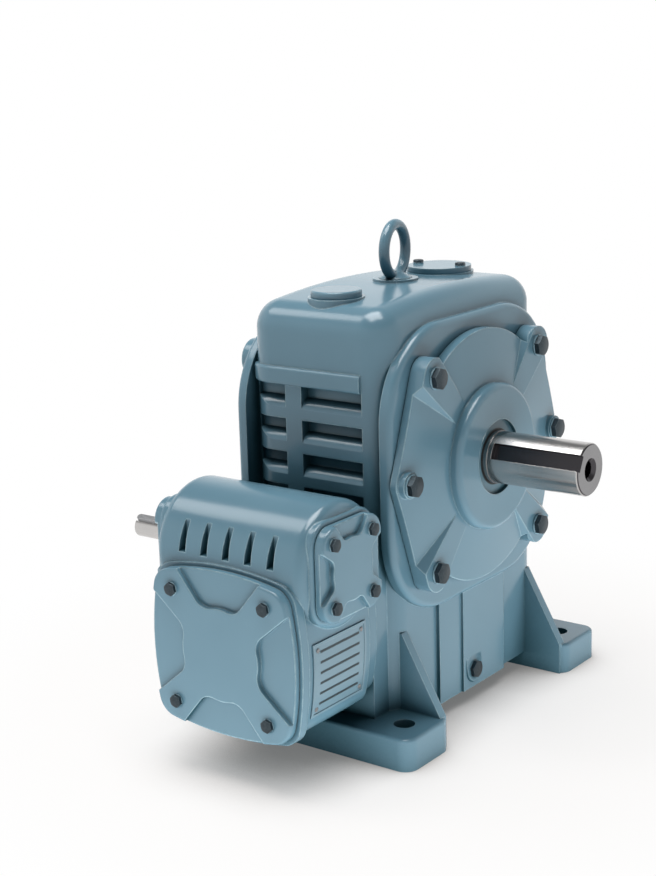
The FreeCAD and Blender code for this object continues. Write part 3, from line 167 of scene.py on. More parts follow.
def two_tone(
    tree: bpy.types.NodeTree,
    place: bpy.types.NodeSocket,
    size_mm: float,
    detail: float,
    colours: tuple[str, str],
) -> tuple[bpy.types.NodeSocket, bpy.types.NodeSocket]:
    """Cloud two colours into each other.

    Args:
        tree: the node tree that gets the nodes.
        place: the coordinates that the pattern lies in.
        size_mm: real width of one cloud.
        detail: number of finer layers in it.
        colours: sRGB hex colours of its low and its high parts.

    Returns:
        The pattern's strength and its colour.
    """
    cloud = add_node(tree, "ShaderNodeTexNoise", {"Scale": per_metre(size_mm), "Detail": detail},
                     {"Vector": place})
    low, high = colours
    tone = add_node(tree, "ShaderNodeMix", {"data_type": "RGBA", 6: linear(low), 7: linear(high)},
                    {0: cloud.outputs["Fac"]})
    return cloud.outputs["Fac"], tone.outputs[2]


def edge_mask(
    tree: bpy.types.NodeTree,
    round_mm: float,
    samples: int,
    strength: float,
) -> tuple[bpy.types.NodeSocket, bpy.types.NodeSocket]:
    """Round the edges for the light and find where they are.

    Args:
        tree: the node tree that gets the nodes.
        round_mm: radius of the rounding.
        samples: rays that look for an edge.
        strength: the mask's value on a sharp edge.

    Returns:
        The rounded normal, and the edge mask, which is 0 on a flat face.
    """
    form = add_node(tree, "ShaderNodeNewGeometry")
    rounded = add_node(tree, "ShaderNodeBevel", {"samples": samples, "Radius": round_mm * MM})
    bend = add_node(tree, "ShaderNodeVectorMath", {"operation": "DOT_PRODUCT"},
                    {0: rounded.outputs["Normal"], 1: form.outputs["Normal"]})
    sharpness = add_node(tree, "ShaderNodeMapRange",
                    {"From Min": FACE_COSINE, "From Max": EDGE_COSINE, "To Min": 0.0, "To Max": strength},
                    {"Value": bend.outputs["Value"]})
    return rounded.outputs["Normal"], sharpness.outputs["Result"]


def from_axis(
    tree: bpy.types.NodeTree,
    place: bpy.types.NodeSocket,
    centre_m: Vector,
    axis: Axis,
) -> tuple[bpy.types.NodeSocket, bpy.types.NodeSocket]:
    """Measure places from a shaft's axis.

    Args:
        tree: the node tree that gets the nodes.
        place: the coordinates to measure.
        centre_m: a point on the axis.
        axis: the axis's direction.

    Returns:
        The place counted from the point, and its distance from the axis.
    """
    local = add_node(tree, "ShaderNodeVectorMath", {"operation": "SUBTRACT", 1: centre_m}, {0: place})
    off_axis = (0.0, 1.0, 1.0) if axis is Axis.X else (1.0, 0.0, 1.0)
    spoke = add_node(tree, "ShaderNodeVectorMath", {"operation": "MULTIPLY", 1: off_axis},
                     {0: local.outputs["Vector"]})
    radius = add_node(tree, "ShaderNodeVectorMath", {"operation": "LENGTH"}, {0: spoke.outputs["Vector"]})
    return local.outputs["Vector"], radius.outputs["Value"]


@dataclass(frozen=True)
class EnamelledIron:
    """Sprayed enamel on sand-cast iron."""

    # The eye sees an even teal-grey skin with a wet shine, a faint casting grain under it, edges
    # where the paint is thin and rubbed pale, lightened further as a painted highlight, and painted shade
    # darkening the inner corners and recesses, where the shine is dulled too. The grain
    # of the moulding sand is drawn coarser than real, so that it shows.
    name: str = "enamelled_cast_iron_sprayed"
    colour: str = "#668B9C"
    deep_colour: str = "#5C8091"
    # Edge colour: paint rubbed thin, together with a painted highlight on the rounded edges.
    edge_colour: str = "#A3C3CE"
    # Colour of the painted shade in corners and recesses.
    corner_shade_colour: str = "#1C4049"
    ior: float = 1.5
    roughness: float = 0.22
    smoother: float = 0.06
    rougher: float = 0.04
    open_specular: float = 0.5
    shaded_specular: float = 0.06
    dull_shade: float = 0.6
    open_coat: float = 0.15
    dry_shade: float = 0.4
    coat_roughness: float = 0.12
    cloud_mm: float = 80.0
    rub_mm: float = 7.0
    rub_from: tuple[float, float] = (0.35, 0.65)
    rub_to: tuple[float, float] = (0.4, 0.95)
    grain_mm: float = 3.2
    grain_depth_mm: float = 0.25
    grain_strength: float = 0.10
    peel_mm: float = 1.1
    peel_depth_mm: float = 0.1
    peel_strength: float = 0.06
    edge_round_mm: float = 2.0
    corner_mm: float = 110.0
    corner_samples: int = 16
    free_from: tuple[float, float] = (0.35, 0.75)
    corner_shade_from: tuple[float, float] = (0.2, 0.64)
    corner_shade_most: float = 0.9

    def build(self) -> bpy.types.Material:
        """Build the material.

        Returns:
            Enamel with clouded tone, rubbed edges with a painted highlight, painted shade in the corners,
            casting grain and spray peel.
        """
        material, tree = new_material(self.name)
        place = add_node(tree, "ShaderNodeTexCoord").outputs["Object"]
        cloud, tone = two_tone(tree, place, self.cloud_mm, detail=3.0, colours=(self.deep_colour, self.colour))
        rounded, edge = edge_mask(tree, self.edge_round_mm, samples=6, strength=1.0)
        corner = add_node(tree, "ShaderNodeAmbientOcclusion",
                          {"samples": self.corner_samples, "Distance": self.corner_mm * MM})
        free = add_node(tree, "ShaderNodeMapRange",
                        {"From Min": self.free_from[0], "From Max": self.free_from[1]},
                        {"Value": corner.outputs["AO"]})
        rub = add_node(tree, "ShaderNodeTexNoise",
                       {"Scale": per_metre(self.rub_mm), "Detail": 4.0}, {"Vector": place})
        patch = add_node(tree, "ShaderNodeMapRange",
                         {"From Min": self.rub_from[0], "From Max": self.rub_from[1],
                          "To Min": self.rub_to[0], "To Max": self.rub_to[1]},
                         {"Value": rub.outputs["Fac"]})
        outer = add_node(tree, "ShaderNodeMath", {"operation": "MULTIPLY"},
                         {0: edge, 1: free.outputs["Result"]})
        wear_and_highlight = add_node(tree, "ShaderNodeMath", {"operation": "MULTIPLY"},
                        {0: outer.outputs["Value"], 1: patch.outputs["Result"]})
        # Edges turned pale: partly rubbed paint, partly a painted highlight along the rounded edges.
        edge_toned = add_node(tree, "ShaderNodeMix", {"data_type": "RGBA", 7: linear(self.edge_colour)},
                          {0: wear_and_highlight.outputs["Value"], 6: tone})
        # Painted shade: where ambient occlusion finds near walls, in corners, recesses and under overhangs,
        # the colour darkens towards corner_shade_colour and the specular and coat drop.
        painted_shade = add_node(tree, "ShaderNodeMapRange",
                        {"From Min": self.corner_shade_from[0], "From Max": self.corner_shade_from[1],
                         "To Min": self.corner_shade_most, "To Max": 0.0}, {"Value": corner.outputs["AO"]})
        shade = add_node(tree, "ShaderNodeMix", {"data_type": "RGBA", 7: linear(self.corner_shade_colour)},
                         {0: painted_shade.outputs["Result"], 6: edge_toned.outputs[2]})
        grain = add_node(tree, "ShaderNodeTexNoise",
                         {"Scale": per_metre(self.grain_mm), "Detail": 2.0}, {"Vector": place})
        peel = add_node(tree, "ShaderNodeTexNoise", {"Scale": per_metre(self.peel_mm)}, {"Vector": place})
        cast = add_node(tree, "ShaderNodeBump",
                        {"Strength": self.grain_strength, "Distance": self.grain_depth_mm * MM},
                        {"Height": grain.outputs["Fac"], "Normal": rounded})
        skin = add_node(tree, "ShaderNodeBump",
                        {"Strength": self.peel_strength, "Distance": self.peel_depth_mm * MM},
                        {"Height": peel.outputs["Fac"], "Normal": cast.outputs["Normal"]})
        gloss = add_node(tree, "ShaderNodeMapRange",
                         {"To Min": self.roughness - self.smoother, "To Max": self.roughness + self.rougher},
                         {"Value": cloud})
        shine = add_node(tree, "ShaderNodeMapRange",
                         {"From Max": self.dull_shade, "To Min": self.open_specular,
                          "To Max": self.shaded_specular}, {"Value": painted_shade.outputs["Result"]})
        wet = add_node(tree, "ShaderNodeMapRange",
                       {"From Max": self.dry_shade, "To Min": self.open_coat, "To Max": 0.0},
                       {"Value": painted_shade.outputs["Result"]})
        finish_material(tree, {"IOR": self.ior, "Coat Roughness": self.coat_roughness},
                        {"Base Color": shade.outputs[2], "Roughness": gloss.outputs["Result"],
                         "Specular IOR Level": shine.outputs["Result"], "Coat Weight": wet.outputs["Result"],
                         "Normal": skin.outputs["Normal"]})
        return material


@dataclass(frozen=True)
class TurnedSteel:
    """Turned and ground shaft steel."""

    # The eye sees a bright round whose light runs in straight bands along it, fine rings left by the
    # tool, a duller faced end with rings round its centre, and painted shade darkening the keyway, the centre
    # hole and other hollows.
    name: str
    axis: Axis
    centre_m: Vector
    colour: str = "#CFCDCB"
    stain_colour: str = "#B2B0AF"
    faced_colour: str = "#8C8B8C"
    # Colour of the painted shade in the keyway and hollows.
    shade_colour: str = "#4C4A4D"
    milled_mm: float = 0.0
    milled_blend_mm: float = 0.4
    roughness: float = 0.20
    smoother: float = 0.03
    rougher: float = 0.06
    brushed: float = 0.75
    brush_turn: float = 0.25
    ring_mm: float = 1.2
    stain_mm: float = 60.0
    edge_round_mm: float = 0.6
    faced_from: tuple[float, float] = (0.8, 0.95)
    shade_mm: float = 6.0
    shade_samples: int = 8
    shade_from: tuple[float, float] = (0.35, 0.9)
    shade_most: float = 0.85

    def build(self) -> bpy.types.Material:
        """Build the material.

        Returns:
            Steel whose tool rings, drawn coarser than real so that they show, break up the shine.
        """
        material, tree = new_material(self.name)
        place = add_node(tree, "ShaderNodeTexCoord").outputs["Object"]
        local, radius = from_axis(tree, place, self.centre_m, self.axis)
        ring_scale = per_metre(self.ring_mm) * WAVE_UNIT
        along = add_node(tree, "ShaderNodeTexWave",
                         {"bands_direction": self.axis.value, "Scale": ring_scale, "Detail": 0.0},
                         {"Vector": local})
        across = add_node(tree, "ShaderNodeTexWave",
                          {"wave_type": "RINGS", "rings_direction": self.axis.value, "Scale": ring_scale,
                           "Detail": 0.0}, {"Vector": local})
        _, tone = two_tone(tree, place, self.stain_mm, detail=4.0, colours=(self.stain_colour, self.colour))
        form = add_node(tree, "ShaderNodeNewGeometry")
        facing = add_node(tree, "ShaderNodeSeparateXYZ", links={0: form.outputs["Normal"]})
        flat = add_node(tree, "ShaderNodeMath", {"operation": "ABSOLUTE"},
                        {0: facing.outputs[self.axis.value]})
        end = add_node(tree, "ShaderNodeMapRange",
                       {"From Min": self.faced_from[0], "From Max": self.faced_from[1]},
                       {"Value": flat.outputs["Value"]})
        faced = add_node(tree, "ShaderNodeMix", {"data_type": "RGBA", 7: linear(self.faced_colour)},
                         {0: end.outputs["Result"], 6: tone})
        # Painted shade: darker in hollows that ambient occlusion finds, and all over the milled keyway floor.
        corner = add_node(tree, "ShaderNodeAmbientOcclusion",
                          {"samples": self.shade_samples, "Distance": self.shade_mm * MM})
        painted_shade = add_node(tree, "ShaderNodeMapRange",
                        {"From Min": self.shade_from[0], "From Max": self.shade_from[1],
                         "To Min": self.shade_most, "To Max": 0.0}, {"Value": corner.outputs["AO"]})
        cut = add_node(tree, "ShaderNodeMapRange",
                       {"From Min": self.milled_mm * MM,
                        "From Max": (self.milled_mm + self.milled_blend_mm) * MM,
                        "To Min": 1.0, "To Max": 0.0}, {"Value": radius})
        sunk = add_node(tree, "ShaderNodeMath", {"operation": "SUBTRACT", "use_clamp": True},
                        {0: cut.outputs["Result"], 1: end.outputs["Result"]})
        shade_mask = add_node(tree, "ShaderNodeMath", {"operation": "MAXIMUM"},
                        {0: painted_shade.outputs["Result"], 1: sunk.outputs["Value"]})
        shaded_tone = add_node(tree, "ShaderNodeMix", {"data_type": "RGBA", 7: linear(self.shade_colour)},
                         {0: shade_mask.outputs["Value"], 6: faced.outputs[2]})
        rings = add_node(tree, "ShaderNodeMix", {"data_type": "FLOAT"},
                         {0: end.outputs["Result"], 2: along.outputs["Fac"], 3: across.outputs["Fac"]})
        gloss = add_node(tree, "ShaderNodeMapRange",
                         {"To Min": self.roughness - self.smoother, "To Max": self.roughness + self.rougher},
                         {"Value": rings.outputs[0]})
        rounded = add_node(tree, "ShaderNodeBevel", {"samples": 4, "Radius": self.edge_round_mm * MM})
        groove = add_node(tree, "ShaderNodeTangent", {"direction_type": "RADIAL", "axis": self.axis.value})
        finish_material(tree, {"Metallic": 1.0, "Anisotropic": self.brushed,
                               "Anisotropic Rotation": self.brush_turn},
                        {"Base Color": shaded_tone.outputs[2], "Roughness": gloss.outputs["Result"],
                         "Normal": rounded.outputs["Normal"], "Tangent": groove.outputs["Tangent"]})
        return material


@dataclass(frozen=True)
class ToolMarkedMetal:
    """A machined, drawn or blackened metal."""

    # The eye sees a speckled tone, a patchy shine, edges rubbed brighter and a fine tooth.
    name: str
    colour: str
    speck_colour: str
    edge_colour: str
    roughness: float
    metallic: float = 1.0
    patchiness: float = 0.08
    speck_mm: float = 2.0
    tooth_mm: float = 0.6
    tooth_depth_mm: float = 0.08
    tooth_strength: float = 0.08
    edge_round_mm: float = 0.5
    edge_share: float = 0.6

    def build(self) -> bpy.types.Material:
        """Build the material.

        Returns:
            Metal with a speckle of two tones, bright edges and a fine bump.
        """
        material, tree = new_material(self.name)
        place = add_node(tree, "ShaderNodeTexCoord").outputs["Object"]
        speck, tone = two_tone(tree, place, self.speck_mm, detail=5.0,
                               colours=(self.speck_colour, self.colour))
        rounded, edge = edge_mask(tree, self.edge_round_mm, samples=4, strength=self.edge_share)
        edge_toned = add_node(tree, "ShaderNodeMix", {"data_type": "RGBA", 7: linear(self.edge_colour)},
                          {0: edge, 6: tone})
        gloss = add_node(tree, "ShaderNodeMapRange",
                         {"To Min": self.roughness - self.patchiness,
                          "To Max": self.roughness + self.patchiness}, {"Value": speck})
        tooth = add_node(tree, "ShaderNodeTexNoise", {"Scale": per_metre(self.tooth_mm)}, {"Vector": place})
        bump = add_node(tree, "ShaderNodeBump",
                        {"Strength": self.tooth_strength, "Distance": self.tooth_depth_mm * MM},
                        {"Height": tooth.outputs["Fac"], "Normal": rounded})
        finish_material(tree, {"Metallic": self.metallic},
                        {"Base Color": edge_toned.outputs[2], "Roughness": gloss.outputs["Result"],
                         "Normal": bump.outputs["Normal"]})
        return material


@dataclass(frozen=True)
class PressedSheet:
    """Moulded rubber, pressed fibre or a matt fill."""

    # The eye sees a dull skin with flecks and a short random grain.
    name: str
    colour: str
    fleck_colour: str
    roughness: float
    grain_mm: float = 0.8
    grain_depth_mm: float = 0.1
    grain_strength: float = 0.15

    def build(self) -> bpy.types.Material:
        """Build the material.

        Returns:
            A matt material with flecks and grain.
        """
        material, tree = new_material(self.name)
        place = add_node(tree, "ShaderNodeTexCoord").outputs["Object"]
        grain, tone = two_tone(tree, place, self.grain_mm, detail=3.0,
                               colours=(self.colour, self.fleck_colour))
        bump = add_node(tree, "ShaderNodeBump",
                        {"Strength": self.grain_strength, "Distance": self.grain_depth_mm * MM},
                        {"Height": grain})
        finish_material(tree, {"Roughness": self.roughness},
                        {"Base Color": tone, "Normal": bump.outputs["Normal"]})
        return material


@dataclass(frozen=True)
class SealRing:
    """Output seal: a painted-over case round a moulded rubber lip."""

    # The eye sees enamel running over the case and a narrow black ring hugging the shaft.
    name: str
    centre_m: Vector
    paint_colour: str = "#4C7180"
    lip_colour: str = "#131617"
    fleck_colour: str = "#202526"
    lip_roughness: float = 0.55
    paint_roughness: float = 0.3
    lip_mm: float = 24.2
    paint_mm: float = 25.0
    grain_mm: float = 0.8
    grain_depth_mm: float = 0.1
    grain_strength: float = 0.1

    def build(self) -> bpy.types.Material:
        """Build the material.

        Returns:
            A material that turns from matt rubber to enamel away from the shaft.
        """
        material, tree = new_material(self.name)
        place = add_node(tree, "ShaderNodeTexCoord").outputs["Object"]
        _, radius = from_axis(tree, place, self.centre_m, Axis.X)
        case = add_node(tree, "ShaderNodeMapRange",
                        {"From Min": self.lip_mm * MM, "From Max": self.paint_mm * MM}, {"Value": radius})
        grain, lip = two_tone(tree, place, self.grain_mm, detail=3.0,
                              colours=(self.lip_colour, self.fleck_colour))
        tone = add_node(tree, "ShaderNodeMix", {"data_type": "RGBA", 7: linear(self.paint_colour)},
                        {0: case.outputs["Result"], 6: lip})
        gloss = add_node(tree, "ShaderNodeMapRange",
                         {"To Min": self.lip_roughness, "To Max": self.paint_roughness},
                         {"Value": case.outputs["Result"]})
        bump = add_node(tree, "ShaderNodeBump",
                        {"Strength": self.grain_strength, "Distance": self.grain_depth_mm * MM},
                        {"Height": grain})
        finish_material(tree, {}, {"Base Color": tone.outputs[2], "Roughness": gloss.outputs["Result"],
                                   "Normal": bump.outputs["Normal"]})
        return material


class FinishSet:
    """All finishes of the reducer, built once and shared by its pieces."""

    def __init__(self) -> None:
        """Build one material for each finish."""
        self.enamel = EnamelledIron().build()
        self.plate = EnamelledIron(
            "enamelled_sheet_steel_sprayed", colour="#7593A1", deep_colour="#6D8B99", edge_colour="#9FB6C0",
            grain_mm=9.0, edge_round_mm=0.4, corner_mm=3.0,
        ).build()
        self.output_steel = TurnedSteel("output_shaft_steel_ground", Axis.X, joint_point("output_spin"),
                                        milled_mm=21.6).build()
        self.worm_steel = TurnedSteel("worm_steel_ground", Axis.Y, joint_point("worm_spin")).build()
        self.input_steel = TurnedSteel("input_shaft_steel_ground", Axis.X, joint_point("input_spin"),
                                       milled_mm=8.4).build()
        self.bolt = ToolMarkedMetal("bolt_steel_black_oxide", "#4A555B", "#2B3338", "#7C878C", 0.40,
                                    metallic=0.85).build()
        self.bearing = ToolMarkedMetal("bearing_steel_ground", "#CDCDD0", "#B4B4B8", "#DCDCDE", 0.16).build()
        self.key = ToolMarkedMetal("key_steel_drawn", "#A7A8AA", "#7F8183", "#C4C5C6", 0.37).build()
        self.bronze = ToolMarkedMetal("tin_bronze_hobbed", "#C08B4A", "#9A6A35", "#D9AE74", 0.37).build()
        self.iron = ToolMarkedMetal("grey_iron_machined", "#6B6C6E", "#4C4D4F", "#8B8C8E", 0.45).build()
        self.seal = SealRing("shaft_seal_moulded_and_sprayed", joint_point("output_spin")).build()
        self.rubber = PressedSheet("nitrile_rubber_moulded", "#17191A", "#26292A", 0.55).build()
        self.fibre = PressedSheet("gasket_fibre_pressed", "#3B4245", "#51585A", 0.8).build()
        self.rule_fill = PressedSheet("etched_rule_enamel_fill", "#26363C", "#33464D", 0.5).build()


def dress(node_names: Sequence[str], material: bpy.types.Material) -> None:
    """Give CAD nodes a finish.

    Args:
        node_names: names of the frame's nodes.
        material: the finish that fills their material slots.
    """
    for name in node_names:
        obj = frame["nodes"][name]
        obj.data.materials.clear()
        obj.data.materials.append(material)
        LOG.info("dressed %s in %s", name, material.name)


def new_piece(
    name: str,
    mesh: bmesh.types.BMesh,
    body: Body,
    material: bpy.types.Material,
) -> bpy.types.Object:
    """Turn a bmesh into a piece that rides on a body.

    Args:
        name: the piece's name.
        mesh: its shape in frame coordinates; it is freed.
        body: the body that carries it.
        material: its finish.

    Returns:
        The linked object.
    """
    bmesh.ops.recalc_face_normals(mesh, faces=mesh.faces)
    for face in mesh.faces:
        face.smooth = True
    for edge in mesh.edges:
        if len(edge.link_faces) == 2 and edge.calc_face_angle() > math.radians(SHARP_EDGE_DEG):
            edge.smooth = False
    data = bpy.data.meshes.new(name)
    mesh.to_mesh(data)
    mesh.free()
    data.materials.append(material)
    piece = bpy.data.objects.new(name, data)
    bpy.context.scene.collection.objects.link(piece)
    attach(piece, body.value)
    LOG.info("made %s on %s, %d faces", name, body.value, len(data.polygons))
    return piece


def loft_rings(mesh: bmesh.types.BMesh, rings: Sequence[Sequence[Vector]]) -> None:
    """Skin closed rings of equal count and cap both ends.

    Args:
        mesh: the bmesh that gets the skin.
        rings: loops of points from the first cap to the last.
    """
    loops = [[mesh.verts.new(point) for point in ring] for ring in rings]
    count = len(loops[0])
    for lower, upper in zip(loops, loops[1:]):
        for i in range(count):
            j = (i + 1) % count
            mesh.faces.new((lower[i], lower[j], upper[j], upper[i]))
    mesh.faces.new(loops[0][::-1])
    mesh.faces.new(loops[-1])


def circle(radius: float, height: float, segments: int = 36) -> list[Vector]:
    """Points of a level circle round the z axis."""
    steps = [math.tau * k / segments for k in range(segments)]
    return [Vector((radius * math.cos(a), radius * math.sin(a), height)) for a in steps]


def islands(obj: bpy.types.Object) -> list[list[Vector]]:
    """Group a node's points by touching faces.

    Args:
        obj: a CAD node whose solids are apart from each other.

    Returns:
        One list of points for each solid.
    """
    seams: dict[tuple[float, ...], int] = {}
    parent: list[int] = []

    def root(index: int) -> int:
        """Follow the links to a group's first point.

        Args:
            index: a point's number.

        Returns:
            The number of the group's first point.
        """
        while parent[index] != index:
            index = parent[index]
        return index

    keys = []
    for vertex in obj.data.vertices:
        key = tuple(round(c, SEAM_DIGITS) for c in vertex.co)
        if key not in seams:
            seams[key] = len(parent)
            parent.append(len(parent))
        keys.append(seams[key])
    for face in obj.data.polygons:
        first = root(keys[face.vertices[0]])
        for index in face.vertices[1:]:
            parent[root(keys[index])] = first
    groups: dict[int, list[Vector]] = {}
    for vertex, key in zip(obj.data.vertices, keys):
        groups.setdefault(root(key), []).append(vertex.co.copy())
    return list(groups.values())


@dataclass
class BoltSize:
    """One bolt as read from its CAD solid, in metres, with its seat's frame."""

    seat: Matrix
    flats: float
    head: float
    shank_r: float
    shank: float


@dataclass
class HexBoltGroup:
    """Hex bolts of one cover, with chamfered heads on painted washers, in place of the plain solids."""

    node: str
    axis: Vector
    washer_share: float = 0.24
    washer_reach: float = 1.16
    washer_lip_share: float = 0.4
    chamfer_deg: float = 30.0
    crown_share: float = 0.95
    segments: int = 36
    turn_deg: float = 13.0
    rim_share: float = 0.9
    below_seat_mm: float = 1.0
    upright: float = 0.9

    def measure(self, points: Sequence[Vector]) -> BoltSize:
        """Read one bolt's sizes and place from its CAD solid.

        Args:
            points: the points of the solid.

        Returns:
            Its sizes, with a frame whose z runs along the bolt from the seat under the head.
        """
        along = self.axis.normalized()
        side = UP.cross(along).normalized() if abs(along.z) < self.upright else Vector((1.0, 0.0, 0.0))
        other = along.cross(side)
        heights = [point.dot(along) for point in points]
        centre = Vector((0.0, 0.0, 0.0))
        for direction in (side, other):
            spans = [point.dot(direction) for point in points]
            centre += direction * (max(spans) + min(spans)) / 2
        radii = [(point - along * height - centre).length for point, height in zip(points, heights)]
        corner = max(radii)
        rim = [height for height, radius in zip(heights, radii) if radius > corner * self.rim_share]
        low = min(rim)
        shank = [radius for height, radius in zip(heights, radii) if height < low - self.below_seat_mm * MM]
        basis = Matrix((side, other, along)).transposed().to_4x4()
        place = Matrix.Translation(centre + along * low) @ basis
        return BoltSize(place, corner * math.sqrt(3.0), max(rim) - low, max(shank), low - min(heights))

    def head_rings(self, bolt: BoltSize, low: float) -> list[list[Vector]]:
        """Rings of a hex head whose top corners are cut by a cone.

        Args:
            bolt: the bolt's sizes.
            low: height of the head's underside.

        Returns:
            Rings from the underside to the flat top.
        """
        apothem = bolt.flats / 2
        crown = apothem * self.crown_share
        slope = math.tan(math.radians(self.chamfer_deg))
        lower = []
        upper = []
        for k in range(self.segments):
            angle = math.tau * k / self.segments
            local = (math.degrees(angle) + HEX_STEP_DEG / 2) % HEX_STEP_DEG - HEX_STEP_DEG / 2
            reach = apothem / math.cos(math.radians(local))
            turned = angle + math.radians(self.turn_deg)
            direction = Vector((math.cos(turned), math.sin(turned), 0.0))
            lower.append(direction * reach + UP * low)
            upper.append(direction * reach + UP * (bolt.head - max(0.0, reach - crown) * slope))
        top = [Vector((p.x, p.y, 0.0)).normalized() * crown + UP * bolt.head for p in upper]
        return [lower, upper, top]

    def washer_rings(self, bolt: BoltSize, thickness: float) -> list[list[Vector]]:
        """Rings of a flat washer with a small bevelled rim.

        Args:
            bolt: the bolt's sizes.
            thickness: the washer's thickness.

        Returns:
            Rings from the seat to the washer's top.
        """
        reach = bolt.flats / 2 * self.washer_reach
        lip = thickness * self.washer_lip_share
        return [circle(reach, 0.0), circle(reach, thickness - lip), circle(reach - lip, thickness)]

    def build(self, finishes: FinishSet) -> None:
        """Build the group's bolts and washers as two pieces.

        Args:
            finishes: the shared materials.
        """
        heads = bmesh.new()
        washers = bmesh.new()
        for points in islands(frame["nodes"][self.node]):
            bolt = self.measure(points)
            thickness = bolt.head * self.washer_share
            shank = [circle(bolt.shank_r, -bolt.shank), circle(bolt.shank_r, thickness)]
            for mesh, rings in ((heads, shank), (heads, self.head_rings(bolt, thickness)),
                                (washers, self.washer_rings(bolt, thickness))):
                loft_rings(mesh, [[bolt.seat @ point for point in ring] for ring in rings])
        piece = new_piece(self.node + "_hex", heads, Body.CASING, finishes.bolt)
        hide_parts(self.node)
        new_piece(self.node + "_washers", washers, Body.CASING, finishes.enamel)


@dataclass
class BarePlate:
    """Thin bare plate on the worm box's side: an empty frame with ruled lines, held by four rivets."""

    front_mm: float = -229.0
    rear_mm: float = -159.0
    low_mm: float = 63.0
    high_mm: float = 125.0
    thickness_mm: float = 0.7
    seat_gap_mm: float = 0.02
    border_mm: float = 2.2
    border_rise_mm: float = 0.5
    rule_count: int = 6
    rule_mm: float = 2.0
    rule_rise_mm: float = 0.15
    rule_inset_mm: float = 9.0
    rivet_mm: float = 4.2
    rivet_inset_mm: float = 6.0
    rivet_segments: int = 20
    dome_share: float = 0.55
    dome_deg: tuple[float, ...] = (0.0, 20.0, 40.0, 60.0, 78.0)
    rows: int = 13
    probe_mm: float = 300.0

    def on_side(self, y_mm: float, z_mm: float, lift_mm: float) -> Vector:
        """Point above the box's side wall.

        Args:
            y_mm: place along the wall.
            z_mm: height.
            lift_mm: height above the wall's surface.

        Returns:
            The point in frame coordinates.
        """
        start = Vector((self.probe_mm, y_mm, z_mm)) * MM
        found, hit, _, _ = frame["nodes"]["first_stage_housing"].ray_cast(start, INWARDS)
        if not found:
            raise RuntimeError("the plate's place misses the box")
        return hit - INWARDS * lift_mm * MM

    def strip(self, mesh: bmesh.types.BMesh, spans: Sequence[float], low_lift: float, lift: float) -> None:
        """Bend one closed strip along the wall.

        Args:
            mesh: the bmesh that gets the strip.
            spans: front, rear, low and high limits in millimetres.
            low_lift: height of its underside above the wall.
            lift: height of its top above the wall.
        """
        front, rear, low, high = spans
        rings = []
        for k in range(self.rows):
            z = low + (high - low) * k / (self.rows - 1)
            rings.append([self.on_side(front, z, low_lift), self.on_side(rear, z, low_lift),
                          self.on_side(rear, z, lift), self.on_side(front, z, lift)])
        loft_rings(mesh, rings)

    def rivet(self, mesh: bmesh.types.BMesh, y_mm: float, z_mm: float) -> None:
        """Add one domed rivet head.

        Args:
            mesh: the bmesh that gets the head.
            y_mm: place along the wall.
            z_mm: height.
        """
        radius = self.rivet_mm * MM / 2
        place = Matrix.Translation(self.on_side(y_mm, z_mm, self.thickness_mm))
        place = place @ Matrix.Rotation(math.pi / 2, 4, "Y")
        height = radius * self.dome_share
        steps = [math.radians(a) for a in self.dome_deg]
        rings = [circle(radius * math.cos(a), height * math.sin(a), self.rivet_segments) for a in steps]
        loft_rings(mesh, [[place @ point for point in ring] for ring in rings])

    def build(self, finishes: FinishSet) -> None:
        """Build the sheet with its raised border, the rules and the rivets.

        Args:
            finishes: the shared materials.
        """
        sheet = bmesh.new()
        front, rear, low, high = self.front_mm, self.rear_mm, self.low_mm, self.high_mm
        edge = self.border_mm
        self.strip(sheet, (front, rear, low, high), self.seat_gap_mm, self.thickness_mm)
        sides = ((front, front + edge, low, high), (rear - edge, rear, low, high),
                 (front + edge, rear - edge, low, low + edge), (front + edge, rear - edge, high - edge, high))
        for spans in sides:
            self.strip(sheet, spans, self.thickness_mm, self.thickness_mm + self.border_rise_mm)
        new_piece("bare_plate_sheet", sheet, Body.CASING, finishes.plate)
        rules = bmesh.new()
        pitch = (high - low - 2 * self.rule_inset_mm) / (self.rule_count - 1)
        for k in range(self.rule_count):
            z = low + self.rule_inset_mm + pitch * k
            spans = (front + self.rule_inset_mm, rear - self.rule_inset_mm, z, z + self.rule_mm)
            self.strip(rules, spans, self.thickness_mm, self.thickness_mm + self.rule_rise_mm)
        new_piece("bare_plate_rules", rules, Body.CASING, finishes.rule_fill)
        rivets = bmesh.new()
        inset = self.rivet_inset_mm
        for y in (front + inset, rear - inset):
            for z in (low + inset, high - inset):
                self.rivet(rivets, y, z)
        new_piece("bare_plate_rivets", rivets, Body.CASING, finishes.key)


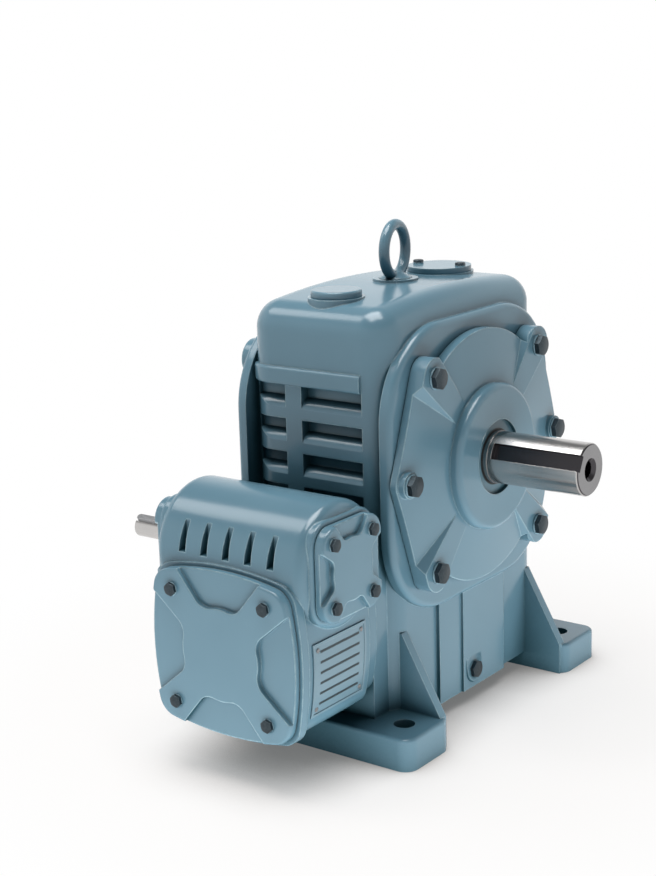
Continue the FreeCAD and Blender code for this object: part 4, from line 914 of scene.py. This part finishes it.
@dataclass
class DrainTongue:
    """Flat cast tongue on the side panel, from which the drain plug's head stands out."""

    half_width_mm: float = 12.0
    top_mm: float = 46.0
    thickness_mm: float = 1.6
    edge_mm: float = 0.8
    root_mm: float = 0.4
    end_segments: int = 14
    probe_mm: float = 100.0

    def outline(self, inset_mm: float, x: float, centre: Vector) -> list[Vector]:
        """Outline of the tongue at one depth.

        Args:
            inset_mm: how far the outline is drawn in.
            x: its place along the plug, in metres.
            centre: the middle of the plug's head.

        Returns:
            Points from one top corner round the lower end to the other.
        """
        reach = (self.half_width_mm - inset_mm) * MM
        crown = (self.top_mm - inset_mm) * MM
        points = [Vector((x, centre.y + reach, crown)), Vector((x, centre.y - reach, crown))]
        for k in range(self.end_segments + 1):
            angle = math.pi * (1.0 + k / self.end_segments)
            points.append(Vector((x, centre.y + reach * math.cos(angle), centre.z + reach * math.sin(angle))))
        return points

    def build(self, finishes: FinishSet) -> None:
        """Build the tongue round the plug, with its top running out into the panel.

        Args:
            finishes: the shared materials.
        """
        low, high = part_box("drain_plug")
        centre = (low + high) / 2
        start = Vector((high.x + self.probe_mm * MM, centre.y + self.half_width_mm * MM, centre.z))
        found, wall, _, _ = frame["nodes"]["main_housing"].ray_cast(start, INWARDS)
        if not found:
            raise RuntimeError("the tongue's place misses the panel")
        root = wall.x - self.root_mm * MM
        front = wall.x + self.thickness_mm * MM
        rings = [self.outline(0.0, root, centre), self.outline(0.0, front - self.edge_mm * MM, centre),
                 self.outline(self.edge_mm, front, centre)]
        for ring in rings[1:]:
            for top_corner in ring[:2]:
                top_corner.x = (wall.x + root) / 2
        mesh = bmesh.new()
        loft_rings(mesh, rings)
        new_piece("drain_tongue", mesh, Body.CASING, finishes.enamel)


@dataclass
class Casing:
    """Second-stage casing with its covers, seals and fittings."""

    enamelled: tuple[str, ...] = (
        "main_housing", "output_cover", "blind_cover", "worm_rear_cover", "inspection_cover",
        "breather_cap", "lifting_eyebolt",
    )
    gaskets: tuple[str, ...] = ("output_cover_gasket", "blind_cover_gasket", "worm_rear_cover_gasket")
    rings: tuple[str, ...] = (
        "output_bearing_outer_ring", "blind_bearing_outer_ring", "worm_front_bearing_outer_ring",
        "worm_rear_bearing_outer_ring",
    )

    def bolt_groups(self) -> list[HexBoltGroup]:
        """List the bolt groups of the casing."""
        return [
            HexBoltGroup("output_cover_bolts", Vector((1.0, 0.0, 0.0))),
            HexBoltGroup("blind_cover_bolts", Vector((-1.0, 0.0, 0.0))),
            HexBoltGroup("worm_rear_cover_bolts", Vector((0.0, 1.0, 0.0))),
            HexBoltGroup("inspection_cover_screws", Vector((0.0, 0.0, 1.0))),
            HexBoltGroup("drain_plug", Vector((1.0, 0.0, 0.0))),
        ]

    def build(self, finishes: FinishSet) -> None:
        """Dress the casing's nodes and build its bolts.

        Args:
            finishes: the shared materials.
        """
        dress(self.enamelled, finishes.enamel)
        dress(self.gaskets, finishes.fibre)
        dress(self.rings, finishes.bearing)
        dress(("output_seal",), finishes.seal)
        for group in self.bolt_groups():
            group.build(finishes)
        DrainTongue().build(finishes)


@dataclass
class FirstStageBox:
    """Worm box on the front of the casing, with a bare ruled plate on its side."""

    enamelled: tuple[str, ...] = (
        "first_stage_housing", "first_stage_front_cover", "tail_bearing_cover", "input_cover",
    )
    gaskets: tuple[str, ...] = (
        "stage_joint_gasket", "front_cover_gasket", "tail_cover_shim", "input_cover_shim",
    )
    rings: tuple[str, ...] = (
        "worm_nose_bearing_outer_ring", "tail_bearing_outer_ring", "input_bearing_outer_ring",
    )

    def bolt_groups(self) -> list[HexBoltGroup]:
        """List the bolt groups of the box."""
        return [
            HexBoltGroup("front_cover_bolts", Vector((0.0, -1.0, 0.0))),
            HexBoltGroup("tail_cover_bolts", Vector((1.0, 0.0, 0.0))),
            HexBoltGroup("input_cover_bolts", Vector((-1.0, 0.0, 0.0))),
        ]

    def build(self, finishes: FinishSet) -> None:
        """Dress the box's nodes and build its bolts and plate.

        Args:
            finishes: the shared materials.
        """
        dress(self.enamelled, finishes.enamel)
        dress(self.gaskets, finishes.fibre)
        dress(self.rings, finishes.bearing)
        dress(("interstage_seal", "input_seal"), finishes.rubber)
        dress(("stage_joint_bolts",), finishes.bolt)
        for group in self.bolt_groups():
            group.build(finishes)
        BarePlate().build(finishes)


@dataclass
class OutputTrain:
    """Output shaft with its bronze-rimmed wheel."""

    rolling: tuple[str, ...] = (
        "output_bearing_inner_ring", "blind_bearing_inner_ring", "output_shaft_rollers",
    )

    def build(self, finishes: FinishSet) -> None:
        """Dress the output shaft's nodes.

        Args:
            finishes: the shared materials.
        """
        dress(("output_shaft", "output_spacer"), finishes.output_steel)
        dress(("output_wheel_rim",), finishes.bronze)
        dress(("output_wheel_centre",), finishes.iron)
        dress(("output_wheel_key",), finishes.key)
        dress(self.rolling, finishes.bearing)


@dataclass
class WormTrain:
    """Second-stage worm shaft with the first-stage wheel."""

    rolling: tuple[str, ...] = (
        "worm_front_bearing_inner_ring", "worm_nose_bearing_inner_ring", "worm_rear_bearing_inner_ring",
        "worm_shaft_rollers",
    )

    def build(self, finishes: FinishSet) -> None:
        """Dress the worm shaft's nodes.

        Args:
            finishes: the shared materials.
        """
        dress(("second_stage_worm",), finishes.worm_steel)
        dress(("first_wheel_rim",), finishes.bronze)
        dress(("first_wheel_centre",), finishes.iron)
        dress(("first_wheel_key", "first_wheel_locknut"), finishes.key)
        dress(self.rolling, finishes.bearing)


@dataclass
class InputTrain:
    """Input worm shaft with the key that its coupling slides over."""

    rolling: tuple[str, ...] = ("tail_bearing_inner_ring", "input_bearing_inner_ring", "input_shaft_rollers")
    keyway_turn_deg: float = 27.0
    key_width_mm: float = 6.0
    key_height_mm: float = 6.0
    key_length_mm: float = 32.0
    key_sink_mm: float = 3.45
    shaft_radius_mm: float = 9.0
    end_gap_mm: float = 1.5
    edge_mm: float = 0.4
    end_segments: int = 10

    def outline(self, inset: float, level: float) -> list[Vector]:
        """Round-ended outline of the key, drawn in by an inset, at a level.

        Args:
            inset: how far the outline is drawn in, in metres.
            level: its height above the key's underside, in metres.

        Returns:
            The outline's points round the middle of the key.
        """
        half = self.key_length_mm * MM / 2
        radius = self.key_width_mm * MM / 2
        points = []
        for sign in (1, -1):
            for k in range(self.end_segments + 1):
                angle = math.pi * (k / self.end_segments - 0.5) + (0 if sign > 0 else math.pi)
                x = sign * (half - radius) + (radius - inset) * math.cos(angle)
                points.append(Vector((x, (radius - inset) * math.sin(angle), level)))
        return points

    def build_key(self, finishes: FinishSet) -> None:
        """Lay the key in the input shaft's keyway.

        Args:
            finishes: the shared materials.
        """
        low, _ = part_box("input_worm")
        axis = joint_point("input_spin")
        middle = low.x + (self.end_gap_mm + self.key_length_mm / 2) * MM
        place = Matrix.Translation(Vector((middle, axis.y, axis.z)))
        place = place @ Matrix.Rotation(math.radians(self.keyway_turn_deg), 4, "X")
        place = place @ Matrix.Translation(UP * (self.shaft_radius_mm - self.key_sink_mm) * MM)
        height = self.key_height_mm * MM
        edge = self.edge_mm * MM
        rings = [self.outline(0.0, 0.0), self.outline(0.0, height - edge), self.outline(edge, height)]
        mesh = bmesh.new()
        loft_rings(mesh, [[place @ point for point in ring] for ring in rings])
        new_piece("input_shaft_key", mesh, Body.INPUT, finishes.key)

    def build(self, finishes: FinishSet) -> None:
        """Dress the input shaft's nodes and add its key.

        Args:
            finishes: the shared materials.
        """
        dress(("input_worm",), finishes.input_steel)
        dress(self.rolling, finishes.bearing)
        self.build_key(finishes)


@dataclass(frozen=True)
class Softbox:
    """A square soft lamp."""

    name: str
    place_m: tuple[float, float, float]
    side_m: float
    power_w: float

    def build(self, target: Vector) -> None:
        """Hang the lamp and point it.

        Args:
            target: where it points.
        """
        data = bpy.data.lights.new(self.name, "AREA")
        data.shape = "RECTANGLE"
        data.size = self.side_m
        data.size_y = self.side_m
        data.energy = self.power_w
        place = Vector(self.place_m)
        lamp = bpy.data.objects.new(self.name, data)
        lamp.location = place
        lamp.rotation_mode = "QUATERNION"
        lamp.rotation_quaternion = (target - place).to_track_quat("-Z", "Y")
        bpy.context.scene.collection.objects.link(lamp)


@dataclass
class Studio:
    """White studio: pale floor, soft lamps and the camera at the photograph's view."""

    camera_mm: tuple[float, float, float] = (828.6, -1200.4, 591.6)
    azimuth_deg: float = 37.09
    elevation_deg: float = 13.73
    roll_deg: float = -1.71
    focal_px: float = 1679.8
    sensor_mm: float = 36.0
    clip_near_m: float = 0.05
    clip_far_m: float = 50.0
    floor_radius_m: float = 6.0
    floor_segments: int = 64
    floor_colour: str = "#F6EFEA"
    floor_near_m: float = 0.22
    floor_far_m: float = 0.5
    floor_lift: float = 0.78
    # Painted contact shadow on the floor: its reach, samples, range, colour and share.
    contact_shadow_mm: float = 70.0
    contact_shadow_samples: int = 16
    contact_shadow_from: tuple[float, float] = (0.3, 0.95)
    contact_shadow_colour: str = "#A8988E"
    contact_shadow_share: float = 0.8
    bounce_near: float = 3.1
    bounce_far: float = 0.3
    bounce_start_m: float = 0.4
    bounce_end_m: float = 1.1
    ambient: float = 0.08
    ceiling: float = 0.25
    ceiling_from: tuple[float, float] = (0.4, 0.7)
    aim_m: tuple[float, float, float] = (0.0, -0.05, 0.2)
    lamps: tuple[Softbox, ...] = (
        Softbox("top_softbox", (-0.1, -0.2, 2.1), side_m=1.3, power_w=40.0),
        Softbox("key_softbox", (-1.1, -0.55, 1.6), side_m=0.6, power_w=5.0),
    )

    def build_camera(self) -> None:
        """Place the camera as fitted to the photograph."""
        data = bpy.data.cameras.new("photo_view")
        data.sensor_width = self.sensor_mm
        data.lens = self.focal_px * self.sensor_mm / max(PHOTO_SIZE_PX)
        data.clip_start = self.clip_near_m
        data.clip_end = self.clip_far_m
        turn = math.radians(self.azimuth_deg)
        rise = math.radians(self.elevation_deg)
        lean = math.radians(self.roll_deg)
        back = Vector((math.sin(turn) * math.cos(rise), -math.cos(turn) * math.cos(rise), math.sin(rise)))
        level = UP.cross(back).normalized()
        crown = back.cross(level)
        right = level * math.cos(lean) + crown * math.sin(lean)
        up = crown * math.cos(lean) - level * math.sin(lean)
        camera = bpy.data.objects.new("photo_view", data)
        basis = Matrix((right, up, back)).transposed().to_4x4()
        camera.matrix_world = Matrix.Translation(Vector(self.camera_mm) * MM) @ basis
        bpy.context.scene.collection.objects.link(camera)
        bpy.context.scene.camera = camera

    def seen_directly(self, tree: bpy.types.NodeTree) -> bpy.types.NodeSocket:
        """Mark the rays that show the background itself.

        Args:
            tree: the node tree that gets the nodes.

        Returns:
            A socket that is 1 for camera, glossy and transmission rays and 0 for the light that spreads.
        """
        rays = add_node(tree, "ShaderNodeLightPath")
        mirror = add_node(tree, "ShaderNodeMath", {"operation": "MAXIMUM"},
                          {0: rays.outputs["Is Glossy Ray"], 1: rays.outputs["Is Transmission Ray"]})
        seen = add_node(tree, "ShaderNodeMath", {"operation": "MAXIMUM"},
                        {0: rays.outputs["Is Camera Ray"], 1: mirror.outputs["Value"]})
        return seen.outputs["Value"]

    def build_floor(self) -> None:
        """Lay a pale round floor that fades to pure white away from the object, with a painted contact shadow
        where the object stands close.
        """
        material, tree = new_material("studio_floor_matt_paint")
        place = add_node(tree, "ShaderNodeTexCoord").outputs["Object"]
        distance = add_node(tree, "ShaderNodeVectorMath", {"operation": "LENGTH"}, {0: place})
        fade = add_node(tree, "ShaderNodeMapRange",
                        {"From Min": self.floor_near_m, "From Max": self.floor_far_m,
                         "To Min": self.floor_lift, "interpolation_type": "SMOOTHSTEP"},
                        {"Value": distance.outputs["Value"]})
        # Painted contact shadow: the floor turns warm grey and less bright where ambient occlusion finds the
        # object near.
        cover = add_node(tree, "ShaderNodeAmbientOcclusion",
                         {"samples": self.contact_shadow_samples, "Distance": self.contact_shadow_mm * MM})
        contact_shadow = add_node(tree, "ShaderNodeMapRange",
                           {"From Min": self.contact_shadow_from[0], "From Max": self.contact_shadow_from[1],
                            "To Min": 1.0, "To Max": 0.0}, {"Value": cover.outputs["AO"]})
        tone = add_node(tree, "ShaderNodeMix",
                        {"data_type": "RGBA", 6: linear(self.floor_colour), 7: linear(self.contact_shadow_colour)},
                        {0: contact_shadow.outputs["Result"]})
        open_share = add_node(tree, "ShaderNodeMapRange", {"To Min": 1.0, "To Max": 1.0 - self.contact_shadow_share},
                              {"Value": contact_shadow.outputs["Result"]})
        lit = add_node(tree, "ShaderNodeMath", {"operation": "MULTIPLY"},
                       {0: fade.outputs["Result"], 1: open_share.outputs["Result"]})
        matt = add_node(tree, "ShaderNodeBsdfDiffuse", links={"Color": tone.outputs[2]})
        bounce = add_node(tree, "ShaderNodeMapRange",
                          {"From Min": self.bounce_start_m, "From Max": self.bounce_end_m,
                           "To Min": self.bounce_near, "To Max": self.bounce_far,
                           "interpolation_type": "SMOOTHSTEP"}, {"Value": distance.outputs["Value"]})
        glow = add_node(tree, "ShaderNodeMix", {"data_type": "FLOAT", 3: 1.0},
                        {0: self.seen_directly(tree), 2: bounce.outputs["Result"]})
        white = add_node(tree, "ShaderNodeEmission", {"Color": WHITE}, {"Strength": glow.outputs[0]})
        mix = add_node(tree, "ShaderNodeMixShader",
                       links={0: lit.outputs["Value"], 1: matt.outputs["BSDF"], 2: white.outputs["Emission"]})
        add_node(tree, "ShaderNodeOutputMaterial", links={"Surface": mix.outputs["Shader"]})
        mesh = bmesh.new()
        bmesh.ops.create_circle(mesh, cap_ends=True, segments=self.floor_segments, radius=self.floor_radius_m)
        data = bpy.data.meshes.new("studio_floor")
        mesh.to_mesh(data)
        mesh.free()
        data.materials.append(material)
        floor = bpy.data.objects.new("studio_floor", data)
        bpy.context.scene.collection.objects.link(floor)

    def build_world(self) -> None:
        """White backdrop with a dim ceiling for what is seen, softer for the light it gives."""
        world = bpy.data.worlds.new("studio_white")
        world.use_nodes = True
        tree = world.node_tree
        tree.nodes.clear()
        way = add_node(tree, "ShaderNodeTexCoord").outputs["Generated"]
        height = add_node(tree, "ShaderNodeSeparateXYZ", links={0: way})
        backdrop = add_node(tree, "ShaderNodeMapRange",
                            {"From Min": self.ceiling_from[0], "From Max": self.ceiling_from[1],
                             "To Min": 1.0, "To Max": self.ceiling,
                             "interpolation_type": "SMOOTHSTEP"}, {"Value": height.outputs["Z"]})
        strength = add_node(tree, "ShaderNodeMix", {"data_type": "FLOAT", 2: self.ambient},
                            {0: self.seen_directly(tree), 3: backdrop.outputs["Result"]})
        sky = add_node(tree, "ShaderNodeBackground", {"Color": WHITE}, {"Strength": strength.outputs[0]})
        add_node(tree, "ShaderNodeOutputWorld", links={"Surface": sky.outputs["Background"]})
        bpy.context.scene.world = world

    def build(self) -> None:
        """Build camera, floor, world and lamps."""
        bpy.context.scene.view_settings.view_transform = "Standard"
        self.build_camera()
        self.build_floor()
        self.build_world()
        for lamp in self.lamps:
            lamp.build(Vector(self.aim_m))


def main() -> None:
    """Build every sub-assembly and the studio."""
    logging.basicConfig(level=logging.INFO, format="%(name)s: %(message)s")
    finishes = FinishSet()
    for part in (Casing(), FirstStageBox(), OutputTrain(), WormTrain(), InputTrain()):
        part.build(finishes)
        LOG.info("finished %s", type(part).__name__)
    Studio().build()


if __name__ == "__main__":
    main()
